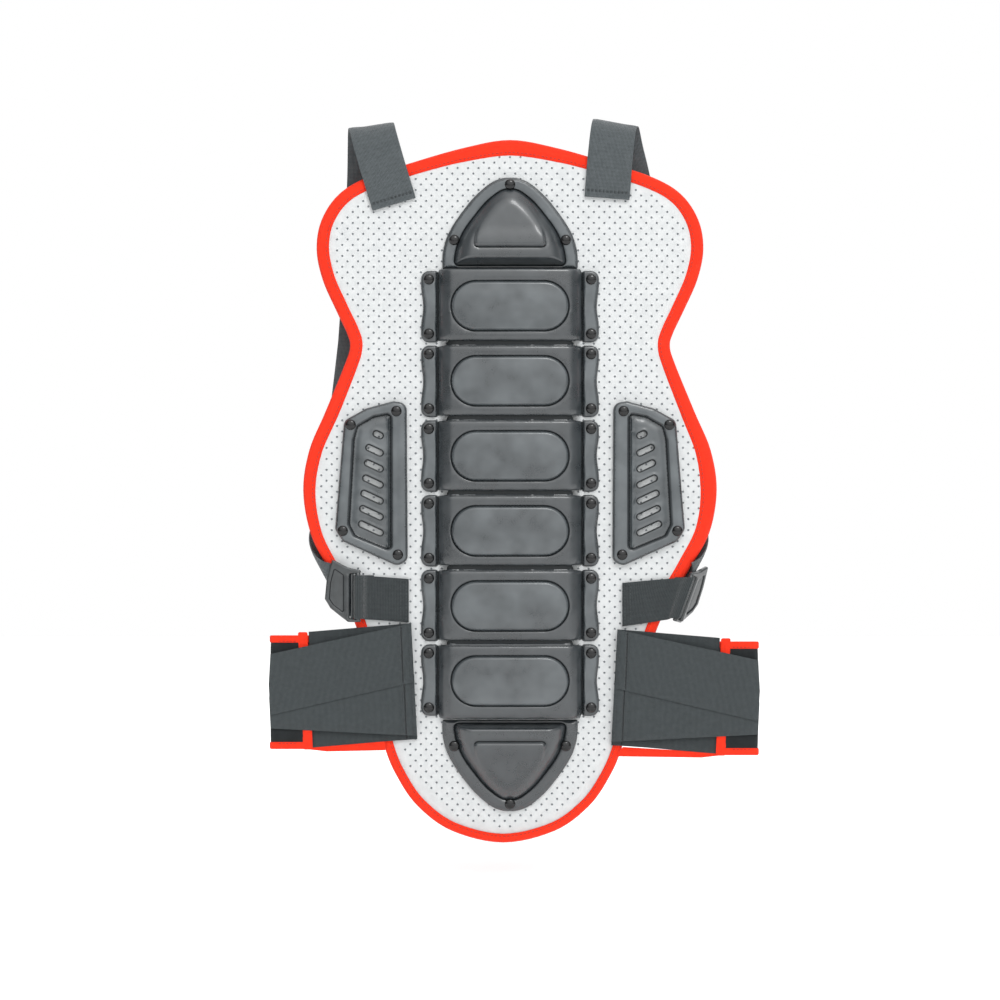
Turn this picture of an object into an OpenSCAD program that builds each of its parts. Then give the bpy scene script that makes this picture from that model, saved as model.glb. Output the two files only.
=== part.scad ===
// Back protector: an articulated spine shield on a padded, bound back panel,
// with shoulder straps, ladder-lock buckles and a two-winged kidney belt.
// Millimetres. +Z runs up the spine, -Y is the outer side, +Y faces the wearer.
// The origin is the centre of the middle cushion's flat face against the back.

/* [Back panel] */
// Thickness of the foam pad
pad_t = 8; // [6:0.5:8]
// Thickness of the wearer-side lining
lining_t = 3; // [2.5:0.5:3]
// Thickness of the spine cushion
cushion_t = 6; // [4:0.5:6]
// Width of the spine cushion
cushion_w = 92; // [80:1:100]
// Width of the edge binding on each face
binding_w = 10; // [8:0.5:12]
// How far the tail of the panel sits over to the left
tail_shift = 5.5; // [0:0.5:6]

/* [Spine plates] */
// Distance from one spine plate to the next
plate_pitch = 61.25; // [61:0.25:63]
// Width of a spine plate's arched body
body_w = 117; // [112:1:119]
// Width of a spine plate over its ears
ear_span = 146; // [142:1:148]
// Rise of the arched body above the ears
body_rise = 10.5; // [9:0.5:11]
// Wall thickness of the plates
plate_t = 3; // [2.5:0.25:3.25]
// Rise of the raised panel on each plate
boss_rise = 1.8; // [1:0.2:2]

/* [Fasteners] */
// Diameter of a rivet's head
rivet_head_d = 8; // [7:0.5:9]
// Diameter of a rivet's shank
rivet_d = 4; // [3:0.5:4]

/* [Straps and belt] */
// Width of the shoulder straps
strap_w = 37; // [34:1:38]
// Thickness of the webbing
web_t = 1.8; // [1.5:0.1:2]
// Width of each tension band on the belt
band_w = 50; // [46:1:52]
// Thickness of the belt's elastic
belt_t = 1.4; // [1.2:0.1:1.4]

/* [Hidden] */

$fn = 32;
big = 500;

// Colours
white = [0.93, 0.94, 0.94];
red = [0.96, 0.24, 0.12];
plate_grey = [0.27, 0.29, 0.30];
strap_grey = [0.33, 0.36, 0.37];
belt_grey = [0.28, 0.31, 0.32];
lining_grey = [0.25, 0.26, 0.27];

// Layers, from the wearer (y = 0) outwards
lining_back = -cushion_t;
pad_back = lining_back - lining_t;
pad_front = pad_back - pad_t;
binding_wall = 0.8;
plate_back = pad_front - 0.1;
ear_front = plate_back - 3.2;
layer_back = pad_front - binding_wall - 0.4;
layer_gap = 0.3;

// Heights of the flex lines between the segments, and the slit at each
flex_top = 1.5 * plate_pitch;
flex_low = -1.5 * plate_pitch;
flex_tail = -3.5 * plate_pitch - 0.6;
slit = 1.4;
segment_z = [
    [flex_top + slit / 2, big],
    [flex_low + slit / 2, flex_top - slit / 2],
    [flex_tail + slit / 2, flex_low - slit / 2],
    [-big, flex_tail - slit / 2]];

// Right half of the panel's outline, from the neck down to the tail
half_outline = [[0, 260], [38, 253.5], [80, 241.5], [118, 229], [141, 215],
    [155, 194], [159, 170], [154, 145], [143, 120], [134, 101], [131.5, 90],
    [136, 75], [152, 36], [165, 5], [170, -28], [164, -63], [149, -92],
    [134, -118], [122, -146], [110, -190], [98, -238], [87, -264], [70, -288],
    [42, -308], [0, -317.5]];
curve_steps = 3;

// Where the tail starts to lean over, and the length it takes
lean_start = -60;
lean_length = 180;

// Rivet places
ear_rivets = [[-66.5, 22.3], [66.5, 22.3], [66.5, -22.3], [-66.5, -22.3]];
top_rivets = [[0, 222.5], [-45.7, 177], [45.7, 177]];
tail_rivets_at = [[0, -285], [-45.7, -237.5], [45.7, -237.5]];
kidney_rivets = [[94, 36.5], [130.5, 25], [137.5, -61.5], [93.5, -80.5]];

// Kidney plate: outline, sunk panel and the slots' outer ends
kidney_outline = [[87.5, 42.5], [96, 43.5], [118, 37.5], [137, 27], [145, -62],
    [136, -73], [96, -89], [87.5, -88]];
kidney_panel = [[99.5, 31.5], [126, 22], [133.5, -59.5], [99.5, -76]];
slot_inner = 106;
slot_outer = [115, 121.5, 122.5, 123.5, 125, 126, 127];
slot_top = 16.5;
slot_pitch = 12.8;
slot_slope = 25;
slot_h = 5.4;

// Belt: seam, hinge line and outer edge of the left wing
belt_seam = [[-81, -137], [-76, -232.5]];
belt_end = [[-165, -144], [-161, -239]];
backing_drop = 7;
fold_x = -196;
wing_hinge_x = -130;
hinge_gap = 3;
tab_inner_x = -162;
flap_inner_x = -151;
closure_z = [-240, -147];
closure_bind = 5.5;
right_shift = [7, 0, -5];

// Layers of the belt, from the pad outwards
base_y = [layer_back - belt_t, layer_back];
tab_y = [base_y[0] - layer_gap - belt_t, base_y[0] - layer_gap];
lower_y = [tab_y[0] - layer_gap - belt_t, tab_y[0] - layer_gap];
upper_y = [lower_y[0] - layer_gap - belt_t, lower_y[0] - layer_gap];
flap_y = [layer_back + 0.6, layer_back + 2.6];

// Buckles; the right one hangs at a slant and swings back
bar_r = 2;
buckle_h = 44;
rail = 3.5;
loop_r = bar_r + 0.4;
bar_y = layer_back - loop_r - web_t;
left_bar = [-124.5, bar_y, -115.5];
right_bar = [142, bar_y, -116];
right_slant = 20;
right_swing = 68;

// Left hip: the direction down the panel's edge, and into the panel from it
hip_edge = [0.47, 0, -0.88];
hip_normal = [0.88, 0, 0.47];
hip_start = [-152.4, 5.2, -82];
// A strap rolls round that edge: how far it reaches and how long the roll is
roll_reach = 7.5;
roll_half_depth = 12.2;
roll_length = 32;
roll_square = 0.7;

// Shoulder straps: points along the middle, and the direction across
left_top_route = [
    [[-95, -19.2, 206.5], [0.966, 0, 0.259]], [[-104.5, -19.2, 238], [0.966, 0, 0.259]],
    [[-110.5, -17.5, 259], [0.975, 0, 0.22]], [[-113, -12.5, 268.5], [0.98, 0, 0.18]],
    [[-114.5, -5, 272], [0.99, 0, 0.13]], [[-115.5, 2.5, 267], [1, 0, 0.08]],
    [[-116, 7, 252], [1, 0, 0.04]], [[-116.5, 10, 232], [1, 0, 0]],
    [[-118, 14, 200], [1, 0, -0.04]], [[-120, 16, 165], [1, 0, -0.06]],
    [[-122, 15, 130], [1, 0, -0.06]], [[-124, 12, 97.5], [1, 0, -0.08]]];
left_rear_route = [
    [[-125, 11, 87], [1, 0, -0.08]], [[-128, 9, 60], [1, 0, -0.1]],
    [[-133, 8, 20], [1, 0, -0.14]], [[-138, 7, -20], [0.98, 0, -0.18]],
    [[-143.6, 6, -50], [0.967, 0, -0.25]], [[-147.9, 5.2, -67], [0.956, 0, -0.29]]];
right_top_route = [
    [[79.5, -19.2, 211.5], [0.996, 0, -0.085]], [[82, -19.2, 243], [0.996, 0, -0.085]],
    [[84, -17.5, 262], [0.99, 0, -0.1]], [[85.5, -12.5, 271], [0.98, 0, -0.14]],
    [[87, -5, 274.5], [0.98, 0, -0.18]], [[88.5, 2.5, 270], [0.97, 0, -0.22]],
    [[92, 7, 254], [0.97, 0, -0.24]], [[97.5, 10, 232], [0.97, 0, -0.24]],
    [[104, 14, 200], [0.98, 0, -0.16]], [[108.5, 16, 165], [0.99, 0, -0.1]],
    [[110.5, 15, 130], [1, 0, -0.04]], [[111.5, 12, 97.5], [1, 0, 0]]];
right_rear_route = [
    [[112, 11, 87], [1, 0, 0.04]], [[115, 9, 60], [0.99, 0, 0.12]],
    [[123, 8, 20], [0.98, 0, 0.2]], [[132, 7, -20], [0.97, 0, 0.24]],
    [[140.5, 6, -50], [0.96, 0, 0.27]], [[145.6, 5.2, -67], [0.956, 0, 0.29]]];

// ---- Curves ----

function unit(v) = v / norm(v);

// One point of a smooth curve that passes through b and c
function curve_point(a, b, c, d, t) =
    0.5 * (2 * b + (c - a) * t + (2 * a - 5 * b + 4 * c - d) * t * t
        + (3 * b - a - 3 * c + d) * t * t * t);

// The half outline, smoothed; its ends are mirrored across the middle
function across(p) = [-p[0], p[1]];
function smooth_half(p) = let (last = len(p) - 1)
    [for (i = [0:last - 1]) for (s = [0:curve_steps - 1])
        curve_point(i == 0 ? across(p[1]) : p[i - 1], p[i], p[i + 1],
            i == last - 1 ? across(p[last - 1]) : p[i + 2], s / curve_steps)];

function lean(z) = -tail_shift * min(1, max(0, (lean_start - z) / lean_length));

// The whole outline, moved in by a distance along each point's normal
half_curve = smooth_half(half_outline);
right_side = concat(half_curve, [half_outline[len(half_outline) - 1]]);
left_side = [for (i = [len(half_curve) - 1:-1:1]) across(half_curve[i])];
full_curve = [for (p = concat(right_side, left_side)) [p[0] + lean(p[1]), p[1]]];

function inward(p, i) = let (n = len(p), t = unit(p[(i + 1) % n] - p[(i + n - 1) % n]))
    [t[1], -t[0]];
function outline(inset) =
    [for (i = [0:len(full_curve) - 1]) full_curve[i] + inset * inward(full_curve, i)];

// A corner of a polygon rounded to radius r
function corner(a, b, c, r, steps) =
    let (u = unit(a - b), v = unit(c - b), half = acos(u * v) / 2,
        centre = b + unit(u + v) * r / sin(half),
        from = b + u * r / tan(half) - centre, to = b + v * r / tan(half) - centre,
        start = atan2(from[1], from[0]), turn = atan2(to[1], to[0]) - start,
        sweep = turn > 180 ? turn - 360 : turn < -180 ? turn + 360 : turn)
    [for (i = [0:steps]) centre + r * [cos(start + sweep * i / steps),
        sin(start + sweep * i / steps)]];
function rounded(p, r, steps = 5) = let (n = len(p))
    [for (i = [0:n - 1]) each corner(p[(i + n - 1) % n], p[i], p[(i + 1) % n], r, steps)];

// A flat sheet of a 2D outline (x, z) between two depths
module slab(front, back) {
    translate([0, back, 0]) rotate([90, 0, 0]) linear_extrude(back - front) children();
}

// Only the part of the children between two heights
module between(z) {
    intersection() {
        children();
        translate([-big, -big, z[0]]) cube([2 * big, 2 * big, z[1] - z[0]]);
    }
}

// A ribbon swept along a route of [point, direction across]
function heading(route, i) =
    unit(route[min(i + 1, len(route) - 1)][0] - route[max(i - 1, 0)][0]);
function ribbon_ring(route, i, w, t) =
    let (side = unit(route[i][1]) * w / 2,
        up = unit(cross(heading(route, i), unit(route[i][1]))) * t / 2, p = route[i][0])
    [p - side - up, p + side - up, p + side + up, p - side + up];
module ribbon(route, w, t) {
    n = len(route);
    points = [for (i = [0:n - 1]) each ribbon_ring(route, i, w, t)];
    // Both broad faces are split along the same diagonal, so a twist keeps its thickness
    walls = [for (i = [0:n - 2]) for (k = [0:3]) let (a = 4 * i + k, b = 4 * i + (k + 1) % 4)
        each (k == 2 ? [[a, a + 4, b + 4], [a, b + 4, b]] : [[a, a + 4, b], [b, a + 4, b + 4]])];
    last = 4 * (n - 1);
    ends = [[0, 1, 2], [0, 2, 3], [last, last + 2, last + 1], [last, last + 3, last + 2]];
    polyhedron(points, concat(walls, ends), convexity = 4);
}

// A strap rolled round the hip's edge. Its middle crosses the edge at 45 degrees;
// c is the way round, from behind the panel (below 0) to its front (above the
// roll's length), and the point is given as [into the panel, depth]
function rolled(c) = c < 0 ? [-c, 0] : c > roll_length ? [c - roll_length, -2 * roll_half_depth]
    : let (a = 180 * c / roll_length, s = sin(a), k = cos(a))
        [-roll_reach * pow(s, roll_square),
            roll_half_depth * (sign(k) * pow(abs(k), roll_square) - 1)];
function rolled_point(along, across, out) =
    let (e = (along + across) * sqrt(0.5), c = (along - across) * sqrt(0.5),
        p = rolled(c), d = unit(rolled(c + 0.5) - rolled(c - 0.5)))
    hip_start + hip_edge * e + hip_normal * (p[0] - d[1] * out) + [0, p[1] + d[0] * out, 0];
module rolled_strap(from, to) {
    columns = 8;
    rows = ceil((to - from) / 4);
    // The two faces, then walls between them all the way round
    points = [for (face = [-1, 1]) for (i = [0:rows]) for (j = [0:columns])
        rolled_point(from + (to - from) * i / rows, strap_w * (j / columns - 0.5), face * web_t / 2)];
    across = columns + 1;
    back = across * (rows + 1);
    quads = concat(
        [for (i = [0:rows - 1]) for (j = [0:columns - 1]) let (a = i * across + j)
            each [[a, a + across, a + across + 1, a + 1],
                [back + a, back + a + 1, back + a + across + 1, back + a + across]]],
        [for (i = [0:rows - 1]) let (a = i * across, b = a + columns)
            each [[a, back + a, back + a + across, a + across],
                [b, b + across, back + b + across, back + b]]],
        [for (j = [0:columns - 1]) let (b = rows * across + j)
            each [[j, j + 1, back + j + 1, back + j], [b, back + b, back + b + 1, b + 1]]]);
    // The same diagonal splits both faces, so the thickness stays even
    faces = [for (q = quads) let (low = min(q), k = search(low, q)[0])
        each [[q[k], q[(k + 1) % 4], q[(k + 2) % 4]], [q[k], q[(k + 2) % 4], q[(k + 3) % 4]]]];
    color(strap_grey) polyhedron(points, faces, convexity = 6);
}

// ---- Back panel ----

module rivet_holes(places, d, front, back) {
    for (p = places) translate([p[0], back, p[1]]) rotate([90, 0, 0])
        cylinder(d = d, h = back - front);
}

function plate_z(i) = (3 - i) * plate_pitch;
function ears_at(first, last) =
    [for (i = [first:last]) for (r = ear_rivets) [r[0], r[1] + plate_z(i)]];
function both_sides(places) = concat(places, [for (p = places) across(p)]);
segment_rivets = [
    concat(top_rivets, ears_at(1, 1)),
    concat(ears_at(2, 4), both_sides(kidney_rivets)),
    ears_at(5, 6),
    tail_rivets_at];
flange_t = 1;

module pad(i) {
    color(white) between(segment_z[i]) difference() {
        slab(pad_front, pad_back) polygon(outline(2));
        rivet_holes(segment_rivets[i], rivet_d + 0.2, pad_front - 1, pad_back + 1);
    }
}

module lining(i) {
    color(lining_grey) between(segment_z[i]) difference() {
        slab(pad_back, lining_back) polygon(outline(2));
        rivet_holes(segment_rivets[i], rivet_head_d + 2, pad_back - 1, pad_back + flange_t + 0.2);
    }
}

// Wraps the panel's edge, with a lip on each face
module binding(i) {
    color(red) between(segment_z[i]) difference() {
        slab(pad_front - binding_wall, lining_back + binding_wall) polygon(outline(0));
        slab(pad_front, lining_back) polygon(outline(2));
        slab(pad_front - 5, lining_back + 5) polygon(outline(binding_w));
    }
}

module cushion(i) {
    ends = [230, -293];
    shape = [[-cushion_w / 2, ends[1]], [cushion_w / 2, ends[1]],
        [cushion_w / 2, ends[0]], [-cushion_w / 2, ends[0]]];
    color(lining_grey) between(segment_z[i]) slab(lining_back, 0) polygon(rounded(shape, 30));
}

// ---- Spine plates ----

arch_power = 2.6;
function bend(c) = sign(c) * pow(abs(c), 2 / arch_power);
// Cross-section of the arched body (x, y), drawn in by some distance
function arch(inset, extra = 0) =
    concat([[-(body_w / 2 - inset), plate_back]],
        [for (a = [180:-7.5:0]) [(body_w / 2 - inset) * bend(cos(a)),
            ear_front - (body_rise - inset + extra) * bend(sin(a))]],
        [[body_w / 2 - inset, plate_back]]);

ear_half_h = 29.4;
body_bottom = -30.1;
body_top = 26.6;
tongue_top = 33;
tongue_inset = plate_t + 0.7;
waist = 1.6;

module ears() {
    half = ear_span / 2;
    shape = [[-half, ear_half_h], [-half, 14], [-half + waist, 8], [-half + waist, -8],
        [-half, -14], [-half, -ear_half_h], [half, -ear_half_h], [half, -14],
        [half - waist, -8], [half - waist, 8], [half, 14], [half, ear_half_h]];
    slab(ear_front, plate_back) polygon(rounded(shape, 3.5));
}

module stadium(w, h) {
    hull_w = w - h;
    square([hull_w, h], center = true);
    for (s = [-1, 1]) translate([s * hull_w / 2, 0]) circle(d = h, $fn = 48);
}

module spine_plate(i) {
    boss = [95, 39.5];
    z = plate_z(i);
    color(plate_grey) translate([0, 0, z]) difference() {
        union() {
            ears();
            translate([0, 0, body_bottom]) linear_extrude(body_top - body_bottom)
                polygon(arch(0));
            if (i > 1) translate([0, 0, body_top - 1]) linear_extrude(tongue_top - body_top + 1)
                polygon(arch(tongue_inset));
            intersection() {
                translate([0, 0, -boss[1] / 2 - 1]) linear_extrude(boss[1] + 2)
                    polygon(arch(0, boss_rise));
                slab(-big / 4, ear_front) stadium(boss[0], boss[1]);
            }
        }
        translate([0, 0, body_bottom - 1]) linear_extrude(body_top - body_bottom - plate_t + 1)
            polygon([for (p = arch(plate_t)) [p[0], p[1] > plate_back - 0.01 ? 0 : p[1]]]);
        if (i > 1) translate([0, 0, body_top - plate_t - 1])
            linear_extrude(tongue_top - body_top + 1)
            polygon([for (p = arch(tongue_inset + plate_t))
                [p[0], p[1] > plate_back - 0.01 ? 0 : p[1]]]);
        // The tongue stands off the pad, which bends under it
        translate([-big / 2, plate_back - 0.5, ear_half_h]) cube([big, 1, tongue_top]);
        rivet_holes(ear_rivets, rivet_d + 0.2, ear_front - 1, plate_back + 1);
    }
}

// Right half of an end plate's rim, dome and raised panel, up from its base line
rim_half = [[55.5, 0], [55, 15], [51.5, 27], [43, 41], [29, 59.5], [13, 72.5], [0, 75]];
dome_half = [[44.5, 3], [42.5, 19], [37, 31], [20, 53], [9, 62], [0, 65]];
panel_half = [[28.5, 19], [25, 31], [14, 49], [6, 57], [0, 59]];
function mirrored(half) = concat(half, [for (i = [len(half) - 2:-1:0]) across(half[i])]);

// The top and tail plates: a flat rim, and a dome in two steps with a panel on it
module end_plate(base, direction, holes) {
    dome_front = ear_front - body_rise * 0.6;
    shoulder_front = ear_front - body_rise;
    centre = [0, 26];
    color(plate_grey) difference() {
        translate([0, 0, base]) mirror([0, 0, direction < 0 ? 1 : 0]) difference() {
            union() {
                slab(ear_front, plate_back) polygon(mirrored(rim_half));
                slab(dome_front, plate_back) polygon(mirrored(dome_half));
                slab(shoulder_front, plate_back) polygon(shrunk(dome_half, centre, 0.84));
                slab(shoulder_front - boss_rise, plate_back) polygon(mirrored(panel_half));
            }
            slab(dome_front + plate_t, 0) polygon(shrunk(dome_half, centre, 0.88));
        }
        rivet_holes(holes, rivet_d + 0.2, ear_front - 1, plate_back + 1);
    }
}
function shrunk(half, centre, share) =
    [for (p = mirrored(half)) centre + (p - centre) * share];

module top_plate() {
    end_plate(plate_z(0.5) + 0.2, 1, top_rivets);
}

module tail_plate() {
    end_plate(flex_tail - 1.2, -1, tail_rivets_at);
}

// ---- Rivets ----

module rivet(front) {
    head_h = 2.2;
    rotate([-90, 0, 0]) rotate_extrude() polygon(concat(
        [[0, front - head_h]],
        [for (a = [75:-15:0]) [rivet_head_d / 2 * cos(a), front - head_h * sin(a)]],
        [[rivet_d / 2, front], [rivet_d / 2, pad_back], [rivet_head_d / 2, pad_back],
            [rivet_head_d / 2, pad_back + flange_t], [0, pad_back + flange_t]]));
}

module rivets(i) {
    color(plate_grey) for (p = segment_rivets[i]) translate([p[0], 0, p[1]])
        rivet(abs(p[0]) > 80 ? kidney_front : ear_front);
}

// ---- Kidney plates ----

kidney_front = plate_back - 5;
kidney_floor = plate_back - 3;

module kidney_plate() {
    color(plate_grey) difference() {
        slab(kidney_front, plate_back) polygon(rounded(kidney_outline, 2.6));
        slab(kidney_front - 1, kidney_floor) polygon(rounded(kidney_panel, 4));
        for (i = [0:len(slot_outer) - 1]) kidney_slot(i);
        rivet_holes(kidney_rivets, rivet_d + 0.2, kidney_front - 1, plate_back + 1);
    }
}

module kidney_slot(i) {
    length = slot_outer[i] - slot_inner;
    slab(kidney_front - 1, plate_back + 1)
        translate([(slot_inner + slot_outer[i]) / 2, slot_top - i * slot_pitch])
        rotate(slot_slope) stadium(max(length / cos(slot_slope), slot_h + 1), slot_h);
}

// ---- Straps and buckles ----

module strap(route) {
    color(strap_grey) ribbon(route, strap_w, web_t);
}

// Short webbing sewn to the panel and looped round the buckle's bar
module side_webbing(seam_x, seam_z, bar, slant) {
    half = strap_w / 2 - 0.6;
    reach = half * [sin(slant), cos(slant)];
    // The flat part stops just short of the bar's axis, inside the loop's wall
    place = [bar[0], bar[2]] - 0.6 * sign(seam_x) * [cos(slant), -sin(slant)];
    color(belt_grey) {
        slab(layer_back - web_t, layer_back) polygon([[seam_x, seam_z + half],
            place + reach, place - reach, [seam_x, seam_z - half]]);
        translate(bar) rotate([0, slant, 0]) difference() {
            cylinder(r = loop_r + web_t - 0.15, h = 2 * half - 0.6, center = true);
            cylinder(r = loop_r, h = 2 * half + 2, center = true);
        }
    }
}

// Ladder lock: a round bar, two side rails and a gripping paddle
module buckle() {
    paddle = [[-8, 20.5], [-21, 28.5], [-26.5, -5], [-17, -17], [-8, -20.5]];
    color(belt_grey) {
        translate([0, 0, -buckle_h / 2]) cylinder(r = bar_r, h = buckle_h);
        slab(-2, 2) for (s = [-1, 1])
            translate([-10, s * (buckle_h - rail) / 2 - rail / 2]) square([10, rail]);
        slab(-2, 1.6) polygon(rounded(paddle, 3));
    }
}

// ---- Kidney belt (left side; the right is its mirror image) ----

module side_cut(inner) {
    x = inner ? wing_hinge_x + hinge_gap / 2 : fold_x;
    w = inner ? big : wing_hinge_x - hinge_gap / 2 - fold_x;
    intersection() {
        children();
        translate([x, -big]) square([w, 2 * big]);
    }
}

// Base of the belt; its lining hangs a little lower and carries the red edge
module belt_base(inner) {
    drop = [0, backing_drop];
    color(belt_grey) slab(base_y[0], base_y[1]) side_cut(inner)
        polygon([belt_seam[0], belt_end[0], belt_end[1] - drop / 4, belt_seam[1] - drop]);
}

module upper_band(inner) {
    color(belt_grey) slab(upper_y[0], upper_y[1]) side_cut(inner) polygon([
        [-81, -137], [fold_x, -162], [fold_x, -162 - band_w], [-79, -137 - band_w + 2]]);
}

module lower_band(inner) {
    color(belt_grey) slab(lower_y[0], lower_y[1]) side_cut(inner) polygon([
        [-78.5, -229 + band_w], [fold_x, -223 + band_w], [fold_x, -223], [-76.5, -229]]);
}

module panel_shape(inner_x, inset) {
    w = inner_x - fold_x - inset;
    translate([fold_x, closure_z[0] + inset])
        square([w, closure_z[1] - closure_z[0] - 2 * inset]);
}

module closure(inner_x, y, bound) {
    color(bound ? red : belt_grey) slab(y[0], y[1]) difference() {
        panel_shape(inner_x, bound ? 0 : closure_bind);
        if (bound) panel_shape(inner_x, closure_bind);
    }
}

module right() {
    translate(right_shift) mirror([1, 0, 0]) children();
}

pad(0);  // upper_pad
pad(1);  // middle_pad
pad(2);  // lumbar_pad
pad(3);  // tail_pad
binding(0);  // upper_binding
binding(1);  // middle_binding
binding(2);  // lumbar_binding
binding(3);  // tail_binding
lining(0);  // upper_lining
lining(1);  // middle_lining
lining(2);  // lumbar_lining
lining(3);  // tail_lining
cushion(0);  // upper_cushion
cushion(1);  // middle_cushion
cushion(2);  // lumbar_cushion
cushion(3);  // tail_cushion
top_plate();
spine_plate(1);  // spine_plate_1
spine_plate(2);  // spine_plate_2
spine_plate(3);  // spine_plate_3
spine_plate(4);  // spine_plate_4
spine_plate(5);  // spine_plate_5
spine_plate(6);  // spine_plate_6
tail_plate();
rivets(0);  // upper_rivets
rivets(1);  // middle_rivets
rivets(2);  // lumbar_rivets
rivets(3);  // tail_rivets
mirror([1, 0, 0]) kidney_plate();  // left_kidney_plate
kidney_plate();  // right_kidney_plate
strap(left_top_route);  // left_strap_top
strap(right_top_route);  // right_strap_top
strap(left_rear_route);  // left_strap_rear
strap(right_rear_route);  // right_strap_rear
rolled_strap(-8, 48);  // left_strap_end
translate([-2, 0, 0]) mirror([1, 0, 0]) rolled_strap(-8, 2);  // right_strap_end
side_webbing(-83, -118.5, left_bar, 0);  // left_side_webbing
side_webbing(92, -121.8, right_bar, right_slant);  // right_side_webbing
translate(left_bar) buckle();  // left_buckle
translate(right_bar) rotate([0, right_slant, 0]) rotate([0, 0, right_swing])  // right_buckle
        mirror([1, 0, 0]) buckle();
belt_base(true);  // left_belt_root
right() belt_base(true);  // right_belt_root
upper_band(true);  // left_upper_band_root
right() upper_band(true);  // right_upper_band_root
lower_band(true);  // left_lower_band_root
right() lower_band(true);  // right_lower_band_root
belt_base(false);  // left_belt_wing
right() belt_base(false);  // right_belt_wing
upper_band(false);  // left_upper_band
right() upper_band(false);  // right_upper_band
lower_band(false);  // left_lower_band
right() lower_band(false);  // right_lower_band
closure(tab_inner_x, tab_y, false);  // left_closure_tab
right() closure(tab_inner_x, tab_y, false);  // right_closure_tab
closure(tab_inner_x, tab_y, true);  // left_closure_tab_binding
right() closure(tab_inner_x, tab_y, true);  // right_closure_tab_binding
closure(flap_inner_x, flap_y, false);  // left_closure_flap
right() closure(flap_inner_x, flap_y, false);  // right_closure_flap
closure(flap_inner_x, flap_y, true);  // left_closure_flap_binding
right() closure(flap_inner_x, flap_y, true);  // right_closure_flap_binding
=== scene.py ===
"""The back protector's looks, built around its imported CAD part. Lengths are in millimetres until build()."""
import math

import bmesh
import bpy
import numpy as np
from mathutils import Matrix, Vector, noise
from mathutils.geometry import delaunay_2d_cdt


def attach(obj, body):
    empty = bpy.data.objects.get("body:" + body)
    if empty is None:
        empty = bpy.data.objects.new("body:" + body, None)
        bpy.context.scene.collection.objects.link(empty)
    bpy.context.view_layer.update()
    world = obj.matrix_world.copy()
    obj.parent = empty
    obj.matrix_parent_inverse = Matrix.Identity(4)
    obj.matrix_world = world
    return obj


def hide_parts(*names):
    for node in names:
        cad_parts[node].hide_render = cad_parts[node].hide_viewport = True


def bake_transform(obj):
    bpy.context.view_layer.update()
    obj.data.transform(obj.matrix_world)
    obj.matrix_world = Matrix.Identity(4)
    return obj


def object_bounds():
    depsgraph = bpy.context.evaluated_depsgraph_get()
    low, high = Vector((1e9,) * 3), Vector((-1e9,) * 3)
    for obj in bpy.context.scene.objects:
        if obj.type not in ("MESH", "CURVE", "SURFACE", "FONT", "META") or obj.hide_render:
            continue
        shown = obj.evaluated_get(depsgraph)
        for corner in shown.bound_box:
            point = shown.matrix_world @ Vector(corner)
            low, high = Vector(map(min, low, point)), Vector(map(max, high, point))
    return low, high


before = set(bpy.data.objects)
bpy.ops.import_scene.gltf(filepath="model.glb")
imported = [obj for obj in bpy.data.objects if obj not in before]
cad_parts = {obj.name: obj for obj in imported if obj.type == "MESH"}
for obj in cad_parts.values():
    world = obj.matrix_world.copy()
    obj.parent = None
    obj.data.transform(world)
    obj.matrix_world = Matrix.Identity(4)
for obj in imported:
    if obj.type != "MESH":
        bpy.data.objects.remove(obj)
cad_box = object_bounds()

MM = 0.001
scene = bpy.context.scene

# Depths, from the wearer (0) outwards (negative)
LINING_BACK = -6.0
PAD_BACK = -9.0
PAD_FRONT = -17.0
PLATE_BACK = -17.1
EAR_FRONT = -20.3
LAYER_BACK = -18.2
KIDNEY_FRONT = -22.1
WEB = 1.8

# Heights where the panel bends, and where its soft layers are cut into pieces
FLEX_TOP, FLEX_LOW, FLEX_TAIL = 91.875, -91.875, -214.975
CUT_TOP, CUT_LOW = 0.0, -153.0
PLATE_PITCH = 61.25

# Right half of the panel's outline, from the neck down to the tail
HALF_OUTLINE = [
    (0, 260), (38, 253.5), (80, 241.5), (118, 229), (141, 215), (155, 194), (159, 170), (154, 145),
    (143, 120), (134, 101), (131.5, 90), (136, 75), (152, 36), (165, 5), (170, -28), (164, -63),
    (149, -92), (134, -118), (122, -146), (110, -190), (98, -238), (87, -264), (70, -288),
    (42, -308), (0, -317.5)]
TAIL_SHIFT, LEAN_START, LEAN_LENGTH = 5.5, -60.0, 180.0


# ---- Curves and loops ----

def smooth(low, high, value):
    """0 below low, 1 above high, and an even turn between them."""
    t = np.clip((value - low) / (high - low), 0, 1)
    return t * t * (3 - 2 * t)


def spline(points, steps, closed=False):
    """A smooth curve through the points, with some steps between each two."""
    p = np.array(points, float)
    if closed:
        p = np.vstack([p[-1], p, p[0], p[1]])
    else:
        p = np.vstack([2 * p[0] - p[1], p, 2 * p[-1] - p[-2]])
    out = []
    for a, b, c, d in zip(p[:-3], p[1:-2], p[2:-1], p[3:]):
        for t in np.arange(steps) / steps:
            out.append(0.5 * (2 * b + (c - a) * t + (2 * a - 5 * b + 4 * c - d) * t * t
                              + (3 * b - a - 3 * c + d) * t ** 3))
    if not closed:
        out.append(p[-2])
    return np.array(out)


def resample(points, step):
    """The same open line with points an even step apart."""
    p = np.array(points, float)
    length = np.concatenate([[0], np.cumsum(np.linalg.norm(np.diff(p[:, :3], axis=0), axis=1))])
    count = max(2, int(round(length[-1] / step)) + 1)
    at = np.linspace(0, length[-1], count)
    return np.stack([np.interp(at, length, p[:, k]) for k in range(p.shape[1])], axis=1)


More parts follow.
